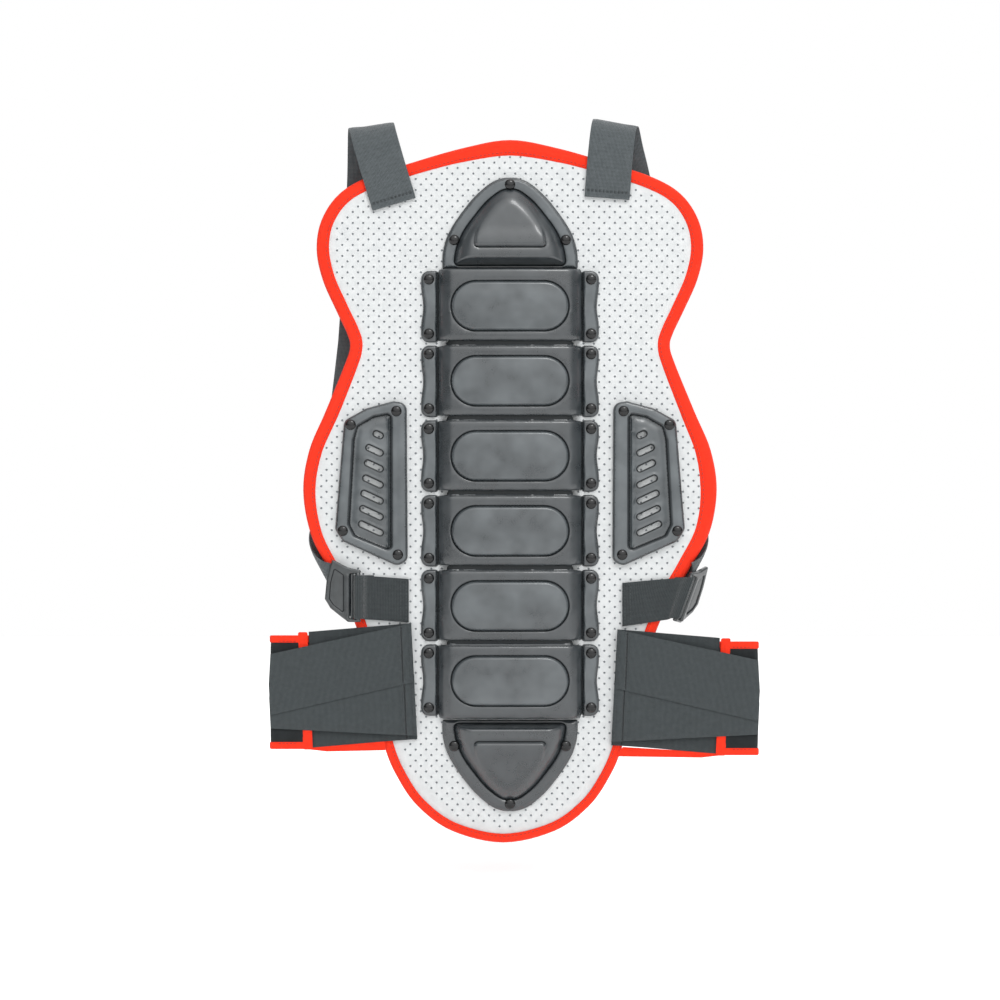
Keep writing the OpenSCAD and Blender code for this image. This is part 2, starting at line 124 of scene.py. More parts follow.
def dense(loop, step):
    """A closed loop with extra points, so that none are further apart than a step."""
    out = []
    for a, b in zip(loop, np.roll(loop, -1, axis=0)):
        count = max(1, int(math.ceil(np.linalg.norm(b - a) / step)))
        out += [a + (b - a) * k / count for k in range(count)]
    return np.array(out)


def rounded(loop, radius, steps=5):
    """A closed polygon with each corner rounded."""
    out = []
    n = len(loop)
    for i in range(n):
        a, b, c = (np.array(loop[(i + k) % n], float) for k in (-1, 0, 1))
        u, v = (a - b) / np.linalg.norm(a - b), (c - b) / np.linalg.norm(c - b)
        half = math.acos(np.clip(u @ v, -1, 1)) / 2
        if half > 1.5:
            out.append(b)
            continue
        centre = b + (u + v) / np.linalg.norm(u + v) * radius / math.sin(half)
        first = b + u * radius / math.tan(half) - centre
        last = b + v * radius / math.tan(half) - centre
        start = math.atan2(first[1], first[0])
        turn = (math.atan2(last[1], last[0]) - start + math.pi) % (2 * math.pi) - math.pi
        for k in range(steps + 1):
            angle = start + turn * k / steps
            out.append(centre + radius * np.array([math.cos(angle), math.sin(angle)]))
    return np.array(out)


def inset(loop, distance):
    """A clockwise loop moved inwards along each point's normal."""
    along = np.roll(loop, -1, axis=0) - np.roll(loop, 1, axis=0)
    along /= np.linalg.norm(along, axis=1)[:, None] + 1e-12
    return loop + distance * np.stack([along[:, 1], -along[:, 0]], axis=1)


def inside(points, loop):
    """Which points lie inside a closed loop."""
    x, z = points[:, :1], points[:, 1:]
    a, b = loop, np.roll(loop, -1, axis=0)
    rise = b[:, 1] - a[:, 1]
    crosses = (a[:, 1] > z) != (b[:, 1] > z)
    at = a[:, 0] + (z - a[:, 1]) * (b[:, 0] - a[:, 0]) / np.where(np.abs(rise) < 1e-9, 1e-9, rise)
    return np.sum(crosses & (x < at), axis=1) % 2 == 1


def edge_distance(points, loop):
    """Each point's distance to a closed loop, above 0 inside it."""
    out = []
    a = np.array(loop, float)
    ab = np.roll(a, -1, axis=0) - a
    square = np.maximum((ab ** 2).sum(1), 1e-12)
    for part in np.array_split(points, max(1, len(points) // 4000)):
        rel = part[:, None, :] - a[None]
        t = np.clip((rel * ab).sum(2) / square, 0, 1)
        far = np.linalg.norm(rel - t[..., None] * ab, axis=2).min(1)
        out.append(np.where(inside(part, a), far, -far))
    return np.concatenate(out)


def below(loop, height):
    """The part of a closed loop under a height, with its cut edge."""
    out = []
    for a, b in zip(loop, np.roll(loop, -1, axis=0)):
        if a[1] <= height:
            out.append(a)
        if (a[1] <= height) != (b[1] <= height):
            out.append(a + (b - a) * (height - a[1]) / (b[1] - a[1]))
    return np.array(out)


def between(loop, low, high):
    """The part of a closed loop between two heights."""
    flip = np.array([1, -1])
    return below(below(loop, high) * flip, -low) * flip


def round_edge(distance, radius):
    """How far a rounded edge falls back at a distance from it."""
    inner = np.clip(radius - distance, 0, radius)
    return radius - np.sqrt(radius ** 2 - inner ** 2)


def panel_outline():
    right = [tuple(map(float, p)) for p in HALF_OUTLINE]
    left = [(-x, z) for x, z in right[-2:0:-1]]
    loop = spline(right + left, 6, closed=True)
    # A point is set exactly at each height where the layers are cut
    for cut in (CUT_TOP, CUT_LOW):
        for side in (1, -1):
            near = np.argmin(np.abs(loop[:, 1] - cut) + 1000 * (loop[:, 0] * side < 0))
            a = loop[near]
            b = loop[(near + 1) % len(loop)] if (loop[(near + 1) % len(loop)][1] - cut) * (a[1] - cut) <= 0 \
                else loop[near - 1]
            if abs(b[1] - a[1]) > 1e-6:
                loop[near] = a + (b - a) * (cut - a[1]) / (b[1] - a[1])
    loop[:, 0] -= TAIL_SHIFT * np.clip((LEAN_START - loop[:, 1]) / LEAN_LENGTH, 0, 1)
    return loop


OUTLINE = panel_outline()


# ---- Making meshes ----

class Shape:
    """A mesh in the making: points, faces, cloth coordinates (cm) and each face's finish."""

    def __init__(self):
        self.points, self.faces, self.cloth, self.finish = [], [], [], []

    def add(self, points, faces, cloth=None, finish=0, place=None):
        start = len(self.points)
        points = np.array(points, float)
        if place is not None:
            turn = np.array(place.to_3x3())
            if np.linalg.det(turn) < 0:
                faces = [tuple(reversed(f)) for f in faces]
            points = points @ turn.T + np.array(place.translation)
        self.points += points.tolist()
        self.faces += [tuple(start + i for i in f) for f in faces]
        if cloth is None:
            cloth = points[:, [0, 2]] * 0.1
        self.cloth += np.array(cloth, float).tolist()
        self.finish += list(finish) if hasattr(finish, "__len__") else [finish] * len(faces)
        return self

    def build(self, name, finishes, body=None, sharp=40):
        mesh = bpy.data.meshes.new(name)
        mesh.from_pydata([tuple(c * MM for c in p) for p in self.points], [], self.faces)
        for finish in finishes:
            mesh.materials.append(finish)
        mesh.polygons.foreach_set("material_index", self.finish)
        layer = mesh.uv_layers.new(name="UVMap")
        corners = np.zeros(len(mesh.loops), int)
        mesh.loops.foreach_get("vertex_index", corners)
        layer.data.foreach_set("uv", np.array(self.cloth)[corners].ravel())
        mesh.shade_smooth()
        mesh.set_sharp_from_angle(angle=math.radians(sharp))
        obj = bpy.data.objects.new(name, mesh)
        scene.collection.objects.link(obj)
        if body:
            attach(obj, body)
        return obj


def relief(shape, outline, front, back, spacing, lines=(), points=(), holes=(), place=None, finish=0,
           paint=None, cloth_turn=0.0):
    """Adds a solid seen from the front: a triangulated outline whose two faces have the depths that
    front and back give. lines are loops that the triangles follow, and points are extra ones."""
    outline = np.array(outline, float)
    fixed = [outline] + [np.array(l, float) for l in list(holes) + list(lines)]
    low, high = outline.min(0), outline.max(0)
    rows = np.arange(low[1], high[1], spacing * 0.87)
    grid = np.array([(x + spacing / 2 * (i % 2), z) for i, z in enumerate(rows)
                     for x in np.arange(low[0], high[0], spacing)])
    keep = edge_distance(grid, outline) > spacing * 0.5
    for loop in fixed[1:]:
        keep &= np.abs(edge_distance(grid, loop)) > spacing * 0.4
    everything = [grid[keep]] + fixed
    if len(points):
        everything.append(np.array(points, float))
    edges, start = [], int(keep.sum())
    for loop in fixed:
        edges += [(start + i, start + (i + 1) % len(loop)) for i in range(len(loop))]
        start += len(loop)
    flat, _, tris, *_ = delaunay_2d_cdt([Vector(p) for p in np.vstack(everything)], edges, [], 0, 1e-5)
    flat = np.array([tuple(p) for p in flat])
    tris = np.array([t for t in tris if len(t) == 3])
    centres = flat[tris].mean(1)
    keep = inside(centres, outline)
    for hole in holes:
        keep &= ~inside(centres, np.array(hole, float))
    tris, centres = tris[keep], centres[keep]
    used, tris = np.unique(tris, return_inverse=True)
    tris, flat = tris.reshape(-1, 3), flat[used]
    n = len(flat)
    solid = np.vstack([np.column_stack([flat[:, 0], front(flat), flat[:, 1]]),
                       np.column_stack([flat[:, 0], back(flat), flat[:, 1]])])
    seen = set()
    for a, b, c in tris.tolist():
        seen.update([(a, b), (b, c), (c, a)])
    walls = [(b, a, a + n, b + n) for a, b in sorted(seen) if (b, a) not in seen]
    faces = [tuple(t) for t in tris.tolist()] + [tuple(t) for t in (tris[:, ::-1] + n).tolist()] + walls
    turn = math.radians(cloth_turn)
    cloth = flat @ np.array([[math.cos(turn), -math.sin(turn)], [math.sin(turn), math.cos(turn)]]) * 0.1
    shades = [finish] * len(faces)
    if paint is not None:
        shades[:len(tris)] = [int(k) for k in paint(centres)]
    shape.add(solid, faces, np.vstack([cloth, cloth]), shades, place)
    return shape


def tube(shape, rings, cloth, finish=0, closed_ends=True, flip=False, place=None):
    """Adds a surface through a row of rings that all have the same number of points."""
    rings = np.array(rings, float)
    count, size = rings.shape[:2]
    faces = []
    for i in range(count - 1):
        for k in range(size):
            a, b = i * size + k, i * size + (k + 1) % size
            faces.append((a, b, b + size, a + size))
    if closed_ends:
        faces.append(tuple(reversed(range(size))))
        faces.append(tuple((count - 1) * size + k for k in range(size)))
    if flip:
        faces = [tuple(reversed(f)) for f in faces]
    shape.add(rings.reshape(-1, 3), faces, cloth, finish, place)
    return shape


def lathe(shape, profile, place, sides=24, finish=0):
    """Adds a turned solid: profile is (radius, height along the axis), and the axis is local z."""
    rings = [[(r * math.cos(a), r * math.sin(a), h)
              for a in np.arange(sides) * 2 * math.pi / sides] for r, h in profile]
    cloth = [(0.1 * (r + h), 0.1 * h) for r, h in profile for _ in range(sides)]
    return tube(shape, rings, cloth, finish, place=place)


def stations(route, step, smooth_steps=8, square=True):
    """A strap's route made even: points, headings, directions across and normals. Without square, the
    directions across keep the slant they are given."""
    flat = [list(p) + list(np.array(a, float) / np.linalg.norm(a)) for p, a in route]
    rows = resample(spline(flat, smooth_steps), step)
    point, across = rows[:, :3], rows[:, 3:]
    heading = np.gradient(point, axis=0)
    heading /= np.linalg.norm(heading, axis=1)[:, None]
    if square:
        across = across - (across * heading).sum(1)[:, None] * heading
    across /= np.linalg.norm(across, axis=1)[:, None]
    normal = np.cross(heading, across)
    normal /= np.linalg.norm(normal, axis=1)[:, None]
    return point, heading, across, normal


def ribbon(shape, line, width, thick, columns=12, finish=0, bow=0.0, start=0.0):
    """Adds a flat strap along the stations of a line; its edges are rolled thin."""
    point, _, across, normal = line
    u = np.linspace(-1, 1, columns + 1)
    half = thick / 2 * (1 - 0.6 * np.abs(u) ** 10)
    u_ring = np.concatenate([u, u[::-1]])
    h_ring = np.concatenate([half, -half[::-1]]) + bow * (1 - u_ring ** 2)
    rings = (point[:, None] + across[:, None] * (u_ring * width / 2)[None, :, None]
             + normal[:, None] * h_ring[None, :, None])
    length = start + np.concatenate([[0], np.cumsum(np.linalg.norm(np.diff(point, axis=0), axis=1))])
    cloth = [(0.1 * a * width / 2, 0.1 * s) for s in length for a in u_ring]
    return tube(shape, rings, cloth, finish, flip=True)


def stitch(shape, a, b, normal, finish=1, radius=0.42):
    """Adds one sewn stitch: a short thread that dips into the cloth at both ends."""
    a, b, normal = (np.array(v, float) for v in (a, b, normal))
    along = (b - a) / np.linalg.norm(b - a)
    side = np.cross(along, normal)
    rings, cloth = [], []
    for t, size, lift in ((0, 0.3, -0.35), (0.2, 0.85, 0.05), (0.5, 1, 0.2), (0.8, 0.85, 0.05), (1, 0.3, -0.35)):
        centre = a + (b - a) * t + normal * lift * radius
        rings.append([centre + radius * size * (side * math.cos(k) + normal * math.sin(k))
                      for k in np.arange(6) * math.pi / 3])
        cloth += [(0.1 * t, 0)] * 6
    return tube(shape, rings, cloth, finish)


def stitches(shape, path, normals, pitch=3.2, gap=0.9, finish=1, radius=0.42):
    """Adds a row of stitches along a path; normals is one direction, or one for each point."""
    path = np.array(path, float)
    normals = np.broadcast_to(np.array(normals, float), path.shape)
    rows = resample(np.hstack([path, normals]), pitch)
    for first, second in zip(rows[:-1], rows[1:]):
        step = second[:3] - first[:3]
        length = np.linalg.norm(step)
        if length > 0.5:
            stitch(shape, first[:3] + step * gap / 2 / length, second[:3] - step * gap / 2 / length,
                   first[3:] / np.linalg.norm(first[3:]), finish, radius)
    return shape


# ---- Finishes ----

def node(tree, kind, inputs=(), **settings):
    made = tree.nodes.new("ShaderNode" + kind)
    for key, value in settings.items():
        setattr(made, key, value)
    for key, value in dict(inputs).items():
        if isinstance(value, bpy.types.NodeSocket):
            tree.links.new(value, made.inputs[key])
        else:
            made.inputs[key].default_value = value
    return made


def linear(red, green, blue):
    """A colour given as 0 to 255 screen values."""
    return tuple((c / 255 / 12.92 if c / 255 <= 0.04045 else ((c / 255 + 0.055) / 1.055) ** 2.4)
                 for c in (red, green, blue)) + (1.0,)


def new_finish(name, roughness, specular=0.5, sheen=0.0, coat=0.0, metallic=0.0):
    finish = bpy.data.materials.new(name)
    finish.use_nodes = True
    tree = finish.node_tree
    shader = tree.nodes["Principled BSDF"]
    shader.inputs["Roughness"].default_value = roughness
    shader.inputs["Specular IOR Level"].default_value = specular
    shader.inputs["Sheen Weight"].default_value = sheen
    shader.inputs["Sheen Roughness"].default_value = 0.5
    shader.inputs["Coat Weight"].default_value = coat
    shader.inputs["Metallic"].default_value = metallic
    return finish, tree, shader


def math_node(tree, operation, *values):
    return node(tree, "Math", dict(enumerate(values)), operation=operation).outputs[0]


def wave(tree, coordinate, pitch, shift=0.0):
    """0 to 1 and back over each pitch of a coordinate."""
    turned = math_node(tree, "MULTIPLY_ADD", coordinate, 2 * math.pi / pitch, shift)
    return math_node(tree, "MULTIPLY_ADD", math_node(tree, "SINE", turned), 0.5, 0.5)


def blotches(tree, size, detail=3.0, coordinate="Object", roughness=0.55):
    """Noise whose patches are about a size across, in metres, or in cloth centimetres."""
    where = node(tree, "TexCoord").outputs[coordinate]
    return node(tree, "TexNoise", {"Vector": where, "Scale": 1.0 / size, "Detail": detail,
                                   "Roughness": roughness}).outputs["Fac"]


def mixed(tree, share, first, second):
    made = node(tree, "Mix", {0: share, 6: first, 7: second}, data_type="RGBA")
    return made.outputs[2]


def spread(tree, value, low, high, to_low, to_high):
    return node(tree, "MapRange", {0: value, 1: low, 2: high, 3: to_low, 4: to_high}).outputs[0]


def bump(tree, shader, height, strength, distance, under=None):
    inputs = {"Height": height, "Strength": strength, "Distance": distance}
    if under is not None:
        inputs["Normal"] = under
    made = node(tree, "Bump", inputs)
    tree.links.new(made.outputs[0], shader.inputs["Normal"])
    return made.outputs[0]


def moulded(name, painted_shade, light, roughness, mottle=0.02, grain=0.0006, bumpy=0.25, coat=0.0, spec=0.5):
    """Moulded plastic: slow mottling, a fine satin grain and uneven gloss."""
    finish, tree, shader = new_finish(name, roughness, spec, coat=coat)
    slow = blotches(tree, mottle, 2.0)
    fine = blotches(tree, grain, 4.0)
    tree.links.new(mixed(tree, spread(tree, slow, 0.3, 0.7, 0, 1), painted_shade, light), shader.inputs["Base Color"])
    uneven = math_node(tree, "ADD", spread(tree, slow, 0.3, 0.7, roughness - 0.05, roughness + 0.06),
                       spread(tree, fine, 0.3, 0.7, -0.03, 0.03))
    tree.links.new(uneven, shader.inputs["Roughness"])
    swell = bump(tree, shader, slow, bumpy, 0.0016)
    bump(tree, shader, fine, 0.12, 0.0002, swell)
    return finish


def woven(name, trough, crest, along, across, weft=0.055, depth=0.0005, roughness=0.8, sheen=0.25,
          turn=False, worn=0.12):
    """Elastic or webbing: ribs at one pitch and a finer weft across them, in cloth centimetres."""
    finish, tree, shader = new_finish(name, roughness, 0.3, sheen=sheen)
    apart = node(tree, "SeparateXYZ", {0: node(tree, "TexCoord").outputs["UV"]}).outputs
    u, v = (apart[1], apart[0]) if turn else (apart[0], apart[1])
    ribs = wave(tree, u, along)
    picks = wave(tree, v, across)
    staggered = wave(tree, math_node(tree, "ADD", v, math_node(tree, "MULTIPLY", ribs, across / 2)), weft)
    weave = math_node(tree, "MULTIPLY_ADD", staggered, 0.45, math_node(tree, "MULTIPLY", ribs, 0.75))
    height = math_node(tree, "MULTIPLY_ADD", picks, 0.12, weave)
    fuzz = blotches(tree, 0.0035, 4.0)
    # The colour follows the weave's height: its low parts take the trough colour as painted shade and its raised ribs
    # the crest colour as painted highlight; the fuzz adds random tone.
    share = math_node(tree, "MULTIPLY_ADD", spread(tree, fuzz, 0.3, 0.7, -worn, worn), 1.0,
                      spread(tree, height, 0.1, 1.2, 0.1, 0.95))
    tree.links.new(mixed(tree, share, trough, crest), shader.inputs["Base Color"])
    bump(tree, shader, height, 0.7, depth)
    return finish


def knitted(name, base, shade, loop=0.09, depth=0.00035, roughness=0.85, sheen=0.15, soft=0.006):
    """A fine knit: rows of small loops whose hollows are painted darker as painted shade, with faint cloudy patches of
    the darker colour at random.
    """
    finish, tree, shader = new_finish(name, roughness, 0.25, sheen=sheen)
    apart = node(tree, "SeparateXYZ", {0: node(tree, "TexCoord").outputs["UV"]}).outputs
    columns = wave(tree, apart[0], loop)
    rows = wave(tree, math_node(tree, "ADD", apart[1], math_node(tree, "MULTIPLY", columns, loop * 0.5)), loop)
    height = math_node(tree, "MULTIPLY", columns, rows)
    cloudy = blotches(tree, soft, 3.0)
    share = math_node(tree, "ADD", spread(tree, cloudy, 0.3, 0.7, 0.0, 0.5), spread(tree, height, 0, 1, 0.5, 0.0))
    tree.links.new(mixed(tree, share, base, shade), shader.inputs["Base Color"])
    bump(tree, shader, height, 0.6, depth)
    return finish


def spacer_mesh(name, base, hole, cell=0.36):
    """Open spacer mesh: small round holes in a regular honeycomb, in cloth centimetres."""
    finish, tree, shader = new_finish(name, 0.85, 0.25, sheen=0.3)
    cells = node(tree, "TexVoronoi", {"Vector": node(tree, "TexCoord").outputs["UV"], "Scale": 1.0 / cell,
                                      "Randomness": 0.2}, voronoi_dimensions="2D").outputs["Distance"]
    open_share = spread(tree, cells, 0.26, 0.38, 1.0, 0.0)
    # The open holes take the near-black hole colour: painted shade inside the mesh's holes.
    tree.links.new(mixed(tree, open_share, base, hole), shader.inputs["Base Color"])
    bump(tree, shader, open_share, -0.9, 0.0008)
    return finish


PLASTIC = moulded("plate_plastic", linear(38, 43, 46), linear(52, 57, 60), 0.3, bumpy=0.15, coat=0.35, spec=0.75)
# Lighter plastic painted on the raised ear strips, the kidney plates' rims and the top plate's rim: painted highlight
# where light from above falls.
PLASTIC_LIT = moulded("plate_plastic_painted_highlight", linear(62, 68, 71), linear(84, 90, 93), 0.36, bumpy=0.2, coat=0.3, spec=0.7)
# Lighter plastic with strong slow mottling on the raised ovals and the kidney plates' recess floors: painted highlight
# with a mottled painted reflection.
PLASTIC_MOTTLED_HIGHLIGHT = moulded("plate_plastic_painted_reflection", linear(46, 52, 55), linear(78, 84, 87), 0.32, mottle=0.024,
                       bumpy=0.4, coat=0.35, spec=0.75)
# Near-black plastic painted into grooves, creases, slot lips, the buckle's crease and the tongues under the plates
# above: painted shade.
PLASTIC_SHADE = moulded("plate_plastic_painted_shade", linear(20, 24, 26), linear(28, 32, 34), 0.5, bumpy=0.1, spec=0.3)
RIVET = moulded("rivet_black", linear(4, 5, 6), linear(8, 10, 12), 0.14, mottle=0.004, bumpy=0.05, spec=0.5)
BUCKLE = moulded("buckle_nylon", linear(28, 33, 35), linear(42, 48, 50), 0.34, mottle=0.008, bumpy=0.15, coat=0.3, spec=0.7)
COVER = knitted("pad_cover", linear(217, 219, 219), linear(197, 200, 201))
# Grey finish for the bottoms of the cover's punched holes: painted shade inside the holes.
HOLE_SHADE = knitted("pad_hole_painted_shade", linear(150, 155, 158), linear(122, 127, 131))
BINDING = woven("edge_binding", linear(234, 34, 9), linear(255, 58, 19), 0.10, 0.3, 0.06, 0.0004, 0.66, 0.0, turn=True)
RED_THREAD = woven("red_thread", linear(150, 16, 4), linear(214, 40, 14), 0.05, 0.05, 0.03, 0.0001, 0.55)
STRAP = woven("strap_elastic", linear(48, 54, 56), linear(96, 103, 106), 0.11, 0.32, 0.05, 0.0004)
WEBBING = woven("side_webbing", linear(26, 31, 33), linear(60, 67, 69), 0.13, 0.4, 0.06, 0.0005, turn=True)
BAND = woven("belt_elastic", linear(38, 44, 46), linear(69, 76, 78), 0.07, 0.5, 0.045, 0.0004, turn=True)
BASE = woven("belt_base", linear(31, 37, 39), linear(57, 64, 66), 0.07, 0.5, 0.045, 0.0004, turn=True)
# Near-black finish painted along the belt pieces' edges and sewn lines: painted shade.
EDGE_SHADE = woven("belt_edge_painted_shade", linear(16, 20, 22), linear(34, 39, 41), 0.07, 0.3, 0.045, 0.0003)
CLOSURE = knitted("closure_fabric", linear(34, 39, 41), linear(18, 22, 24), 0.07, 0.0005, 0.9, 0.2)
THREAD = woven("grey_thread", linear(30, 34, 36), linear(70, 76, 78), 0.05, 0.05, 0.03, 0.0001, 0.6)
PALE_THREAD = woven("pale_thread", linear(190, 192, 192), linear(230, 231, 231), 0.05, 0.05, 0.03, 0.0001, 0.6)
LINING = spacer_mesh("lining_mesh", linear(62, 67, 70), linear(24, 27, 29))
CUSHION = knitted("cushion_cover", linear(92, 98, 101), linear(66, 71, 74), 0.12, 0.0005, 0.9, 0.35, 0.01)


# ---- Panel: pad, lining and binding ----

DOT_PITCH_X, DOT_PITCH_Z, DOT_LIFT = 8.6, 4.5, 2.25
DOT_OUTER, DOT_INNER, DOT_DEPTH = 1.0, 0.72, 0.65
HOLE_MARGIN = 13.2
SEAM_TOP, SEAM_TAIL = 229.6, -293.6


def nearest_hole(points):
    """The centre of the nearest place in the cover's staggered rows of punched holes."""
    row = np.round((points[:, 1] - DOT_LIFT) / DOT_PITCH_Z)
    shift = DOT_PITCH_X / 2 * (row % 2)
    column = np.round((points[:, 0] - shift) / DOT_PITCH_X)
    return np.stack([shift + column * DOT_PITCH_X, DOT_LIFT + row * DOT_PITCH_Z], axis=1)


def is_punched(centres, low, high):
    """Holes are left out at the binding, at the cut edges and under the spine plates."""
    hidden = (np.abs(centres[:, 0]) < 50) & (centres[:, 1] < 175) & (centres[:, 1] > -235)
    clear = (centres[:, 1] > low + 1.2) & (centres[:, 1] < high - 1.2)
    return (edge_distance(centres, OUTLINE) > HOLE_MARGIN) & ~hidden & clear


def in_hole(points, low, high, radius):
    centres = nearest_hole(points)
    near = np.linalg.norm(points - centres, axis=1) < radius
    near[near] = is_punched(centres[near], low, high)
    return near


def pad_depth(points):
    """The cover's depth without its holes: flat, and pressed down towards the sewn edge."""
    d = edge_distance(points, OUTLINE)
    soft = np.array([noise.noise(Vector((x * 0.02, 3.1, z * 0.02))) for x, z in points])
    depth = PAD_FRONT + 2.2 * (1 - smooth(2, 15, d)) + 0.25 * soft * smooth(8, 30, d)
    for z, low, high in ((SEAM_TOP, -48, 42), (SEAM_TAIL, -48, 40)):
        near = np.exp(-((points[:, 1] - z) / 1.6) ** 2)
        depth += 0.7 * near * smooth(low - 3, low + 3, points[:, 0]) * (1 - smooth(high - 3, high + 3, points[:, 0]))
    return depth




def dots_between(low, high):
    """Two rings of points for each hole that isn't hidden under the spine plates."""
    rows = np.arange(math.ceil((low - DOT_LIFT) / DOT_PITCH_Z), math.floor((high - DOT_LIFT) / DOT_PITCH_Z) + 1)
    rows = rows[np.abs(rows) < 80]
    centres = np.array([(c * DOT_PITCH_X + DOT_PITCH_X / 2 * (r % 2), DOT_LIFT + r * DOT_PITCH_Z)
                        for r in rows for c in range(-21, 22)])
    centres = centres[is_punched(centres, low, high)]
    angles = np.arange(6) * math.pi / 3 + 0.3
    ring = np.stack([np.cos(angles), np.sin(angles)], axis=1)
    return (centres[:, None, None, :] + np.array([DOT_OUTER, DOT_INNER])[None, :, None, None] * ring).reshape(-1, 2)


def slope_points(low, high):
    loops = [inset(OUTLINE, d) for d in (5, 7, 9, 11)]
    p = np.vstack(loops)
    return p[(p[:, 1] > low + 0.8) & (p[:, 1] < high - 0.8)]


SPANS = {"upper": (CUT_TOP, 400.0), "middle": (CUT_LOW, CUT_TOP), "tail": (-400.0, CUT_LOW)}
SPAN_NODES = {"upper": ["upper"], "middle": ["middle", "lumbar"], "tail": ["tail"]}


def bend_span(obj):
    """Bakes the layer's placement into its mesh; the layer is not bent here."""
    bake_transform(obj)


def pad(span):
    low, high = SPANS[span]
    shape = Shape()
    outline = dense(between(inset(OUTLINE, 3), low, high), 6)
    front = lambda p: pad_depth(p) + DOT_DEPTH * in_hole(p, low, high, (DOT_OUTER + DOT_INNER) / 2)
    # Faces inside each punched hole get the grey hole finish: painted shade inside the holes.
    painted_shade = lambda p: in_hole(p, low, high, DOT_OUTER * 0.8)
    points = np.vstack([dots_between(low, high), slope_points(low, high)])
    relief(shape, outline, front, lambda p: np.full(len(p), PAD_BACK), 7.0, points=points, paint=painted_shade)
    for z, left, right in ((SEAM_TOP, -48, 42), (SEAM_TAIL, -48, 40)):
        if low < z < high:
            row = np.array([(x, z) for x in np.arange(left, right, 3.0)])
            path = np.column_stack([row[:, 0], pad_depth(row) - 0.1, row[:, 1]])
            stitches(shape, path, (0, -1, 0), 3.2, finish=2, radius=0.38)
    obj = shape.build(span + "_pad_cover", [COVER, HOLE_SHADE, PALE_THREAD], sharp=50)
    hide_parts(*[n + "_pad" for n in SPAN_NODES[span]])
    bend_span(obj)


def lining_back(points):
    d = edge_distance(points, OUTLINE)
    depth = LINING_BACK - 1.0 * (1 - smooth(2, 16, d))
    # A sewn channel runs round the spine cushions
    x, z = np.abs(points[:, 0]), points[:, 1]
    to_side = np.abs(x - 52)
    depth -= 1.3 * np.exp(-(to_side / 2.2) ** 2) * ((z < 236) & (z > -298))
    for line in (FLEX_TOP, FLEX_LOW, FLEX_TAIL):
        depth -= 1.3 * np.exp(-((z - line) / 2.2) ** 2) * smooth(12, 20, d)
    return depth


def lining(span):
    low, high = SPANS[span]
    shape = Shape()
    outline = dense(between(inset(OUTLINE, 3), low, high), 6)
    extra = [(x, z) for x in (-57, -54.5, -52, -49.5, -47, 47, 49.5, 52, 54.5, 57) for z in np.arange(-300, 240, 5)]
    for line in (FLEX_TOP, FLEX_LOW, FLEX_TAIL):
        extra += [(x, line + o) for o in (-5, -2.5, 0, 2.5, 5) for x in np.arange(-150, 151, 5)]
    extra = np.array(extra, float)
    extra = extra[(edge_distance(extra, OUTLINE) > 16) & (extra[:, 1] > low + 1) & (extra[:, 1] < high - 1)]
    points = np.vstack([extra, slope_points(low, high)])
    relief(shape, outline, lambda p: np.full(len(p), PAD_BACK - 0.05), lining_back, 6.0, points=points)
    for x in (-52, 52):
        rows = [(x, z) for z in np.arange(max(low, -292) + 2, min(high, 230) - 1, 3.0)]
        if rows:
            path = np.array(rows, float)
            stitches(shape, np.column_stack([path[:, 0], lining_back(path) + 0.15, path[:, 1]]), (0, 1, 0), 3.4)
    obj = shape.build(span + "_panel_lining", [LINING, THREAD], sharp=50)
    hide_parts(*[n + "_lining" for n in SPAN_NODES[span]])
    bend_span(obj)


# The binding's section: how far in from the edge, and its depth
BINDING_SECTION = [
    (10.6, -16.2), (10.3, -16.9), (9.2, -17.35), (7.4, -17.6), (5.0, -17.55), (2.8, -17.1), (1.1, -16.0),
    (0.25, -14.4), (0.0, -12.0), (0.25, -9.2), (1.0, -7.2), (2.6, -6.0), (5.0, -5.5), (7.6, -5.3),
    (9.4, -5.45), (10.4, -5.9), (10.5, -6.8), (6.0, -8.5), (3.5, -9.5), (3.2, -12.5), (4.5, -14.6), (8.0, -15.8)]
# How wide the binding lies at each height, on the wearer's left (x > 0) and right (x < 0) sides
BINDING_WIDTHS = [(-320, 0.72, 0.72), (-240, 0.76, 0.76), (-130, 0.88, 0.86), (-80, 1.1, 0.84), (-20, 1.36, 1.0),
                  (40, 1.1, 1.08), (100, 0.95, 0.98), (170, 1.0, 1.0), (240, 1.0, 1.0), (265, 1.0, 1.0)]
WIDER_AT_NECK = 0.3


def binding_ring(i):
    """The section at one point of the outline, a little wider over the neck and softly uneven."""
    here = OUTLINE[i]
    after, before = OUTLINE[(i + 1) % len(OUTLINE)], OUTLINE[i - 1]
    along = (after - before) / np.linalg.norm(after - before)
    inward = np.array([along[1], -along[0]])
    heights, right, left = zip(*BINDING_WIDTHS)
    share = smooth(-12, 12, here[0])
    wide = float(np.interp(here[1], heights, right) * share + np.interp(here[1], heights, left) * (1 - share))
    wide += WIDER_AT_NECK * (math.exp(-(here[0] / 45) ** 2) if here[1] > 0 else 0)
    puff = 0.22 * noise.noise(Vector((here[0] * 0.05, here[1] * 0.05, 7.7)))
    ring = []
    for d, y in BINDING_SECTION:
        swell = puff if y < -15 or y > -7 else 0
        p = here + inward * d * wide
        ring.append((p[0], y - swell * (1 if y < -12 else -1), p[1]))
    return ring, inward


def outline_runs(low, high):
    """The stretches of the outline between two heights, as rows of point numbers."""
    n = len(OUTLINE)
    good = (OUTLINE[:, 1] >= low - 1e-3) & (OUTLINE[:, 1] <= high + 1e-3)
    starts = [i for i in range(n) if good[i] and not good[i - 1]]
    runs = []
    for s in starts:
        run = [s]
        while good[(run[-1] + 1) % n]:
            run.append((run[-1] + 1) % n)
        runs.append(run)
    return runs


